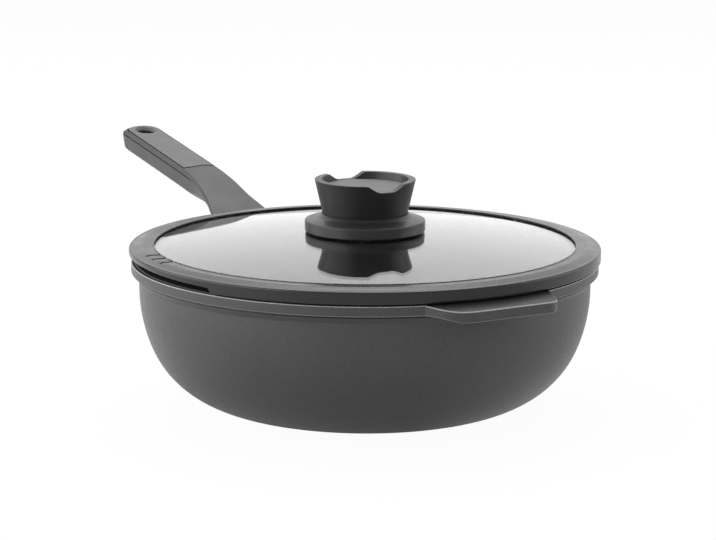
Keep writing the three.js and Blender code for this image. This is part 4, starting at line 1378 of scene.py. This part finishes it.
def make_camera():
    data = bpy.data.cameras.new("camera")
    data.lens = LENS
    data.sensor_width = 36
    level = Matrix.Rotation(CAMERA_YAW, 3, "Z") @ -TO_CAMERA.normalized()
    ahead = level * math.cos(CAMERA_PITCH) - Vector((0, 0, math.sin(CAMERA_PITCH)))
    right = ahead.cross(Vector((0, 0, 1))).normalized()
    up = right.cross(ahead)
    turned = Matrix((right, up, -ahead)).transposed() @ Matrix.Rotation(CAMERA_ROLL, 3, "Z")
    camera = bpy.data.objects.new("camera", data)
    place = TO_CAMERA.normalized() * CAMERA_DISTANCE + Vector((0, 0, CAMERA_HEIGHT))
    camera.matrix_world = Matrix.Translation(place) @ turned.to_4x4()
    bpy.context.scene.collection.objects.link(camera)
    bpy.context.scene.camera = camera


def light_path_mix(tree, *names):
    """1 on the named kinds of ray, 0 on the others."""
    path = add(tree, "ShaderNodeLightPath")
    total = path.outputs[names[0]]
    for name in names[1:]:
        total = compute(tree, "MAXIMUM", total, path.outputs[name])
    return total


def reach_along(tree, source, direction):
    """How far a point or a direction reaches along a fixed direction."""
    made = add(tree, "ShaderNodeVectorMath", operation="DOT_PRODUCT")
    made.inputs[1].default_value = direction
    tree.links.new(source, made.inputs[0])
    return made.outputs["Value"]


def mix_shaders(tree, share, first, second, output):
    mix = add(tree, "ShaderNodeMixShader")
    tree.links.new(share, mix.inputs["Fac"])
    tree.links.new(first.outputs[0], mix.inputs[1])
    tree.links.new(second.outputs[0], mix.inputs[2])
    tree.links.new(mix.outputs[0], output.inputs["Surface"])


def make_world():
    """A white surround, whose soft light on matt surfaces differs by direction."""
    world = bpy.data.worlds.new("studio")
    bpy.context.scene.world = world
    world.use_nodes = True
    tree = world.node_tree
    tree.nodes.clear()
    direction = add(tree, "ShaderNodeTexCoord").outputs["Generated"]
    total = 0.0
    for turn, rise, level in SOFT_LIGHT:
        facing = reach_along(tree, direction, studio_direction(turn, rise))
        soft = compute(tree, "POWER", compute(tree, "MAXIMUM", facing, 0.0), SOFTNESS)
        total = compute(tree, "MULTIPLY_ADD", soft, level, total)
    studio = add(tree, "ShaderNodeBackground")
    tree.links.new(total, studio.inputs["Strength"])
    white = add(tree, "ShaderNodeBackground")
    seen = light_path_mix(tree, "Is Camera Ray", "Is Glossy Ray", "Is Transmission Ray")
    mix_shaders(tree, seen, studio, white, add(tree, "ShaderNodeOutputWorld"))


def make_floor():
    """A white sweep that keeps the pan's shadow, faintly where it is seen and more where it is mirrored, and
    that glows brighter on its right for mirrored rays as a painted pool of light.
    """
    section = [(0, -1), (FLOOR_RADIUS, -1), (FLOOR_RADIUS, -2), (0, -2)]
    floor = polar("floor", angles_round(SMALL_STEP), lambda angle: section)
    made, tree, shader = finish("white_floor", (0.9, 0.9, 0.9), 0.9, 0.0, 0.1)
    glow = add(tree, "ShaderNodeEmission", {"Strength": 1.0})
    seen = compute(tree, "MULTIPLY", light_path_mix(tree, "Is Camera Ray", "Is Transmission Ray"), FLOOR_SEEN)
    place = add(tree, "ShaderNodeTexCoord").outputs["Object"]
    # Painted light: for mirrored rays the floor glows more towards the pan's right.
    side = reach_along(tree, place, studio_direction(270, 0))
    level = spread(tree, side, *FLOOR_BRIGHTENS, *FLOOR_MIRRORED)
    mirrored = compute(tree, "MULTIPLY", level, light_path_mix(tree, "Is Glossy Ray"))
    share = compute(tree, "MAXIMUM", seen, mirrored)
    mix_shaders(tree, share, shader, glow, tree.nodes["Material Output"])
    floor.data.materials.append(made)


def make_box(name, turn, rise, distance, size, radiance):
    """A soft box aimed at the pan. radiance is what its face adds to the surround's white, which is 1."""
    data = bpy.data.lights.new(name, "AREA")
    data.shape = "RECTANGLE"
    data.size, data.size_y = size
    data.energy = radiance * math.pi * size[0] * size[1]
    lamp = bpy.data.objects.new(name, data)
    lamp.location = AIM + studio_direction(turn, rise) * distance
    lamp.rotation_euler = (AIM - lamp.location).to_track_quat("-Z", "Y").to_euler()
    bpy.context.scene.collection.objects.link(lamp)


def make_studio():
    make_camera()
    make_world()
    make_floor()
    make_box("back_box", 180, 16, 2.0, (3.2, 1.1), 0.5)
    make_box("left_box", 76, 18, 1.6, (2.6, 1.0), 3.4)
    make_box("right_box", 262, 10, 1.6, (1.4, 0.9), 1.8)
    make_box("top_box", 180, 62, 1.5, (1.4, 1.2), 3.4)
    bpy.context.scene.view_settings.view_transform = "Standard"


make_pan()
make_lug()
make_plate()
make_handle()
make_handle_fixing()
make_glass()
make_rim()
make_flange()
make_grip()
make_knob_inside()
make_studio()
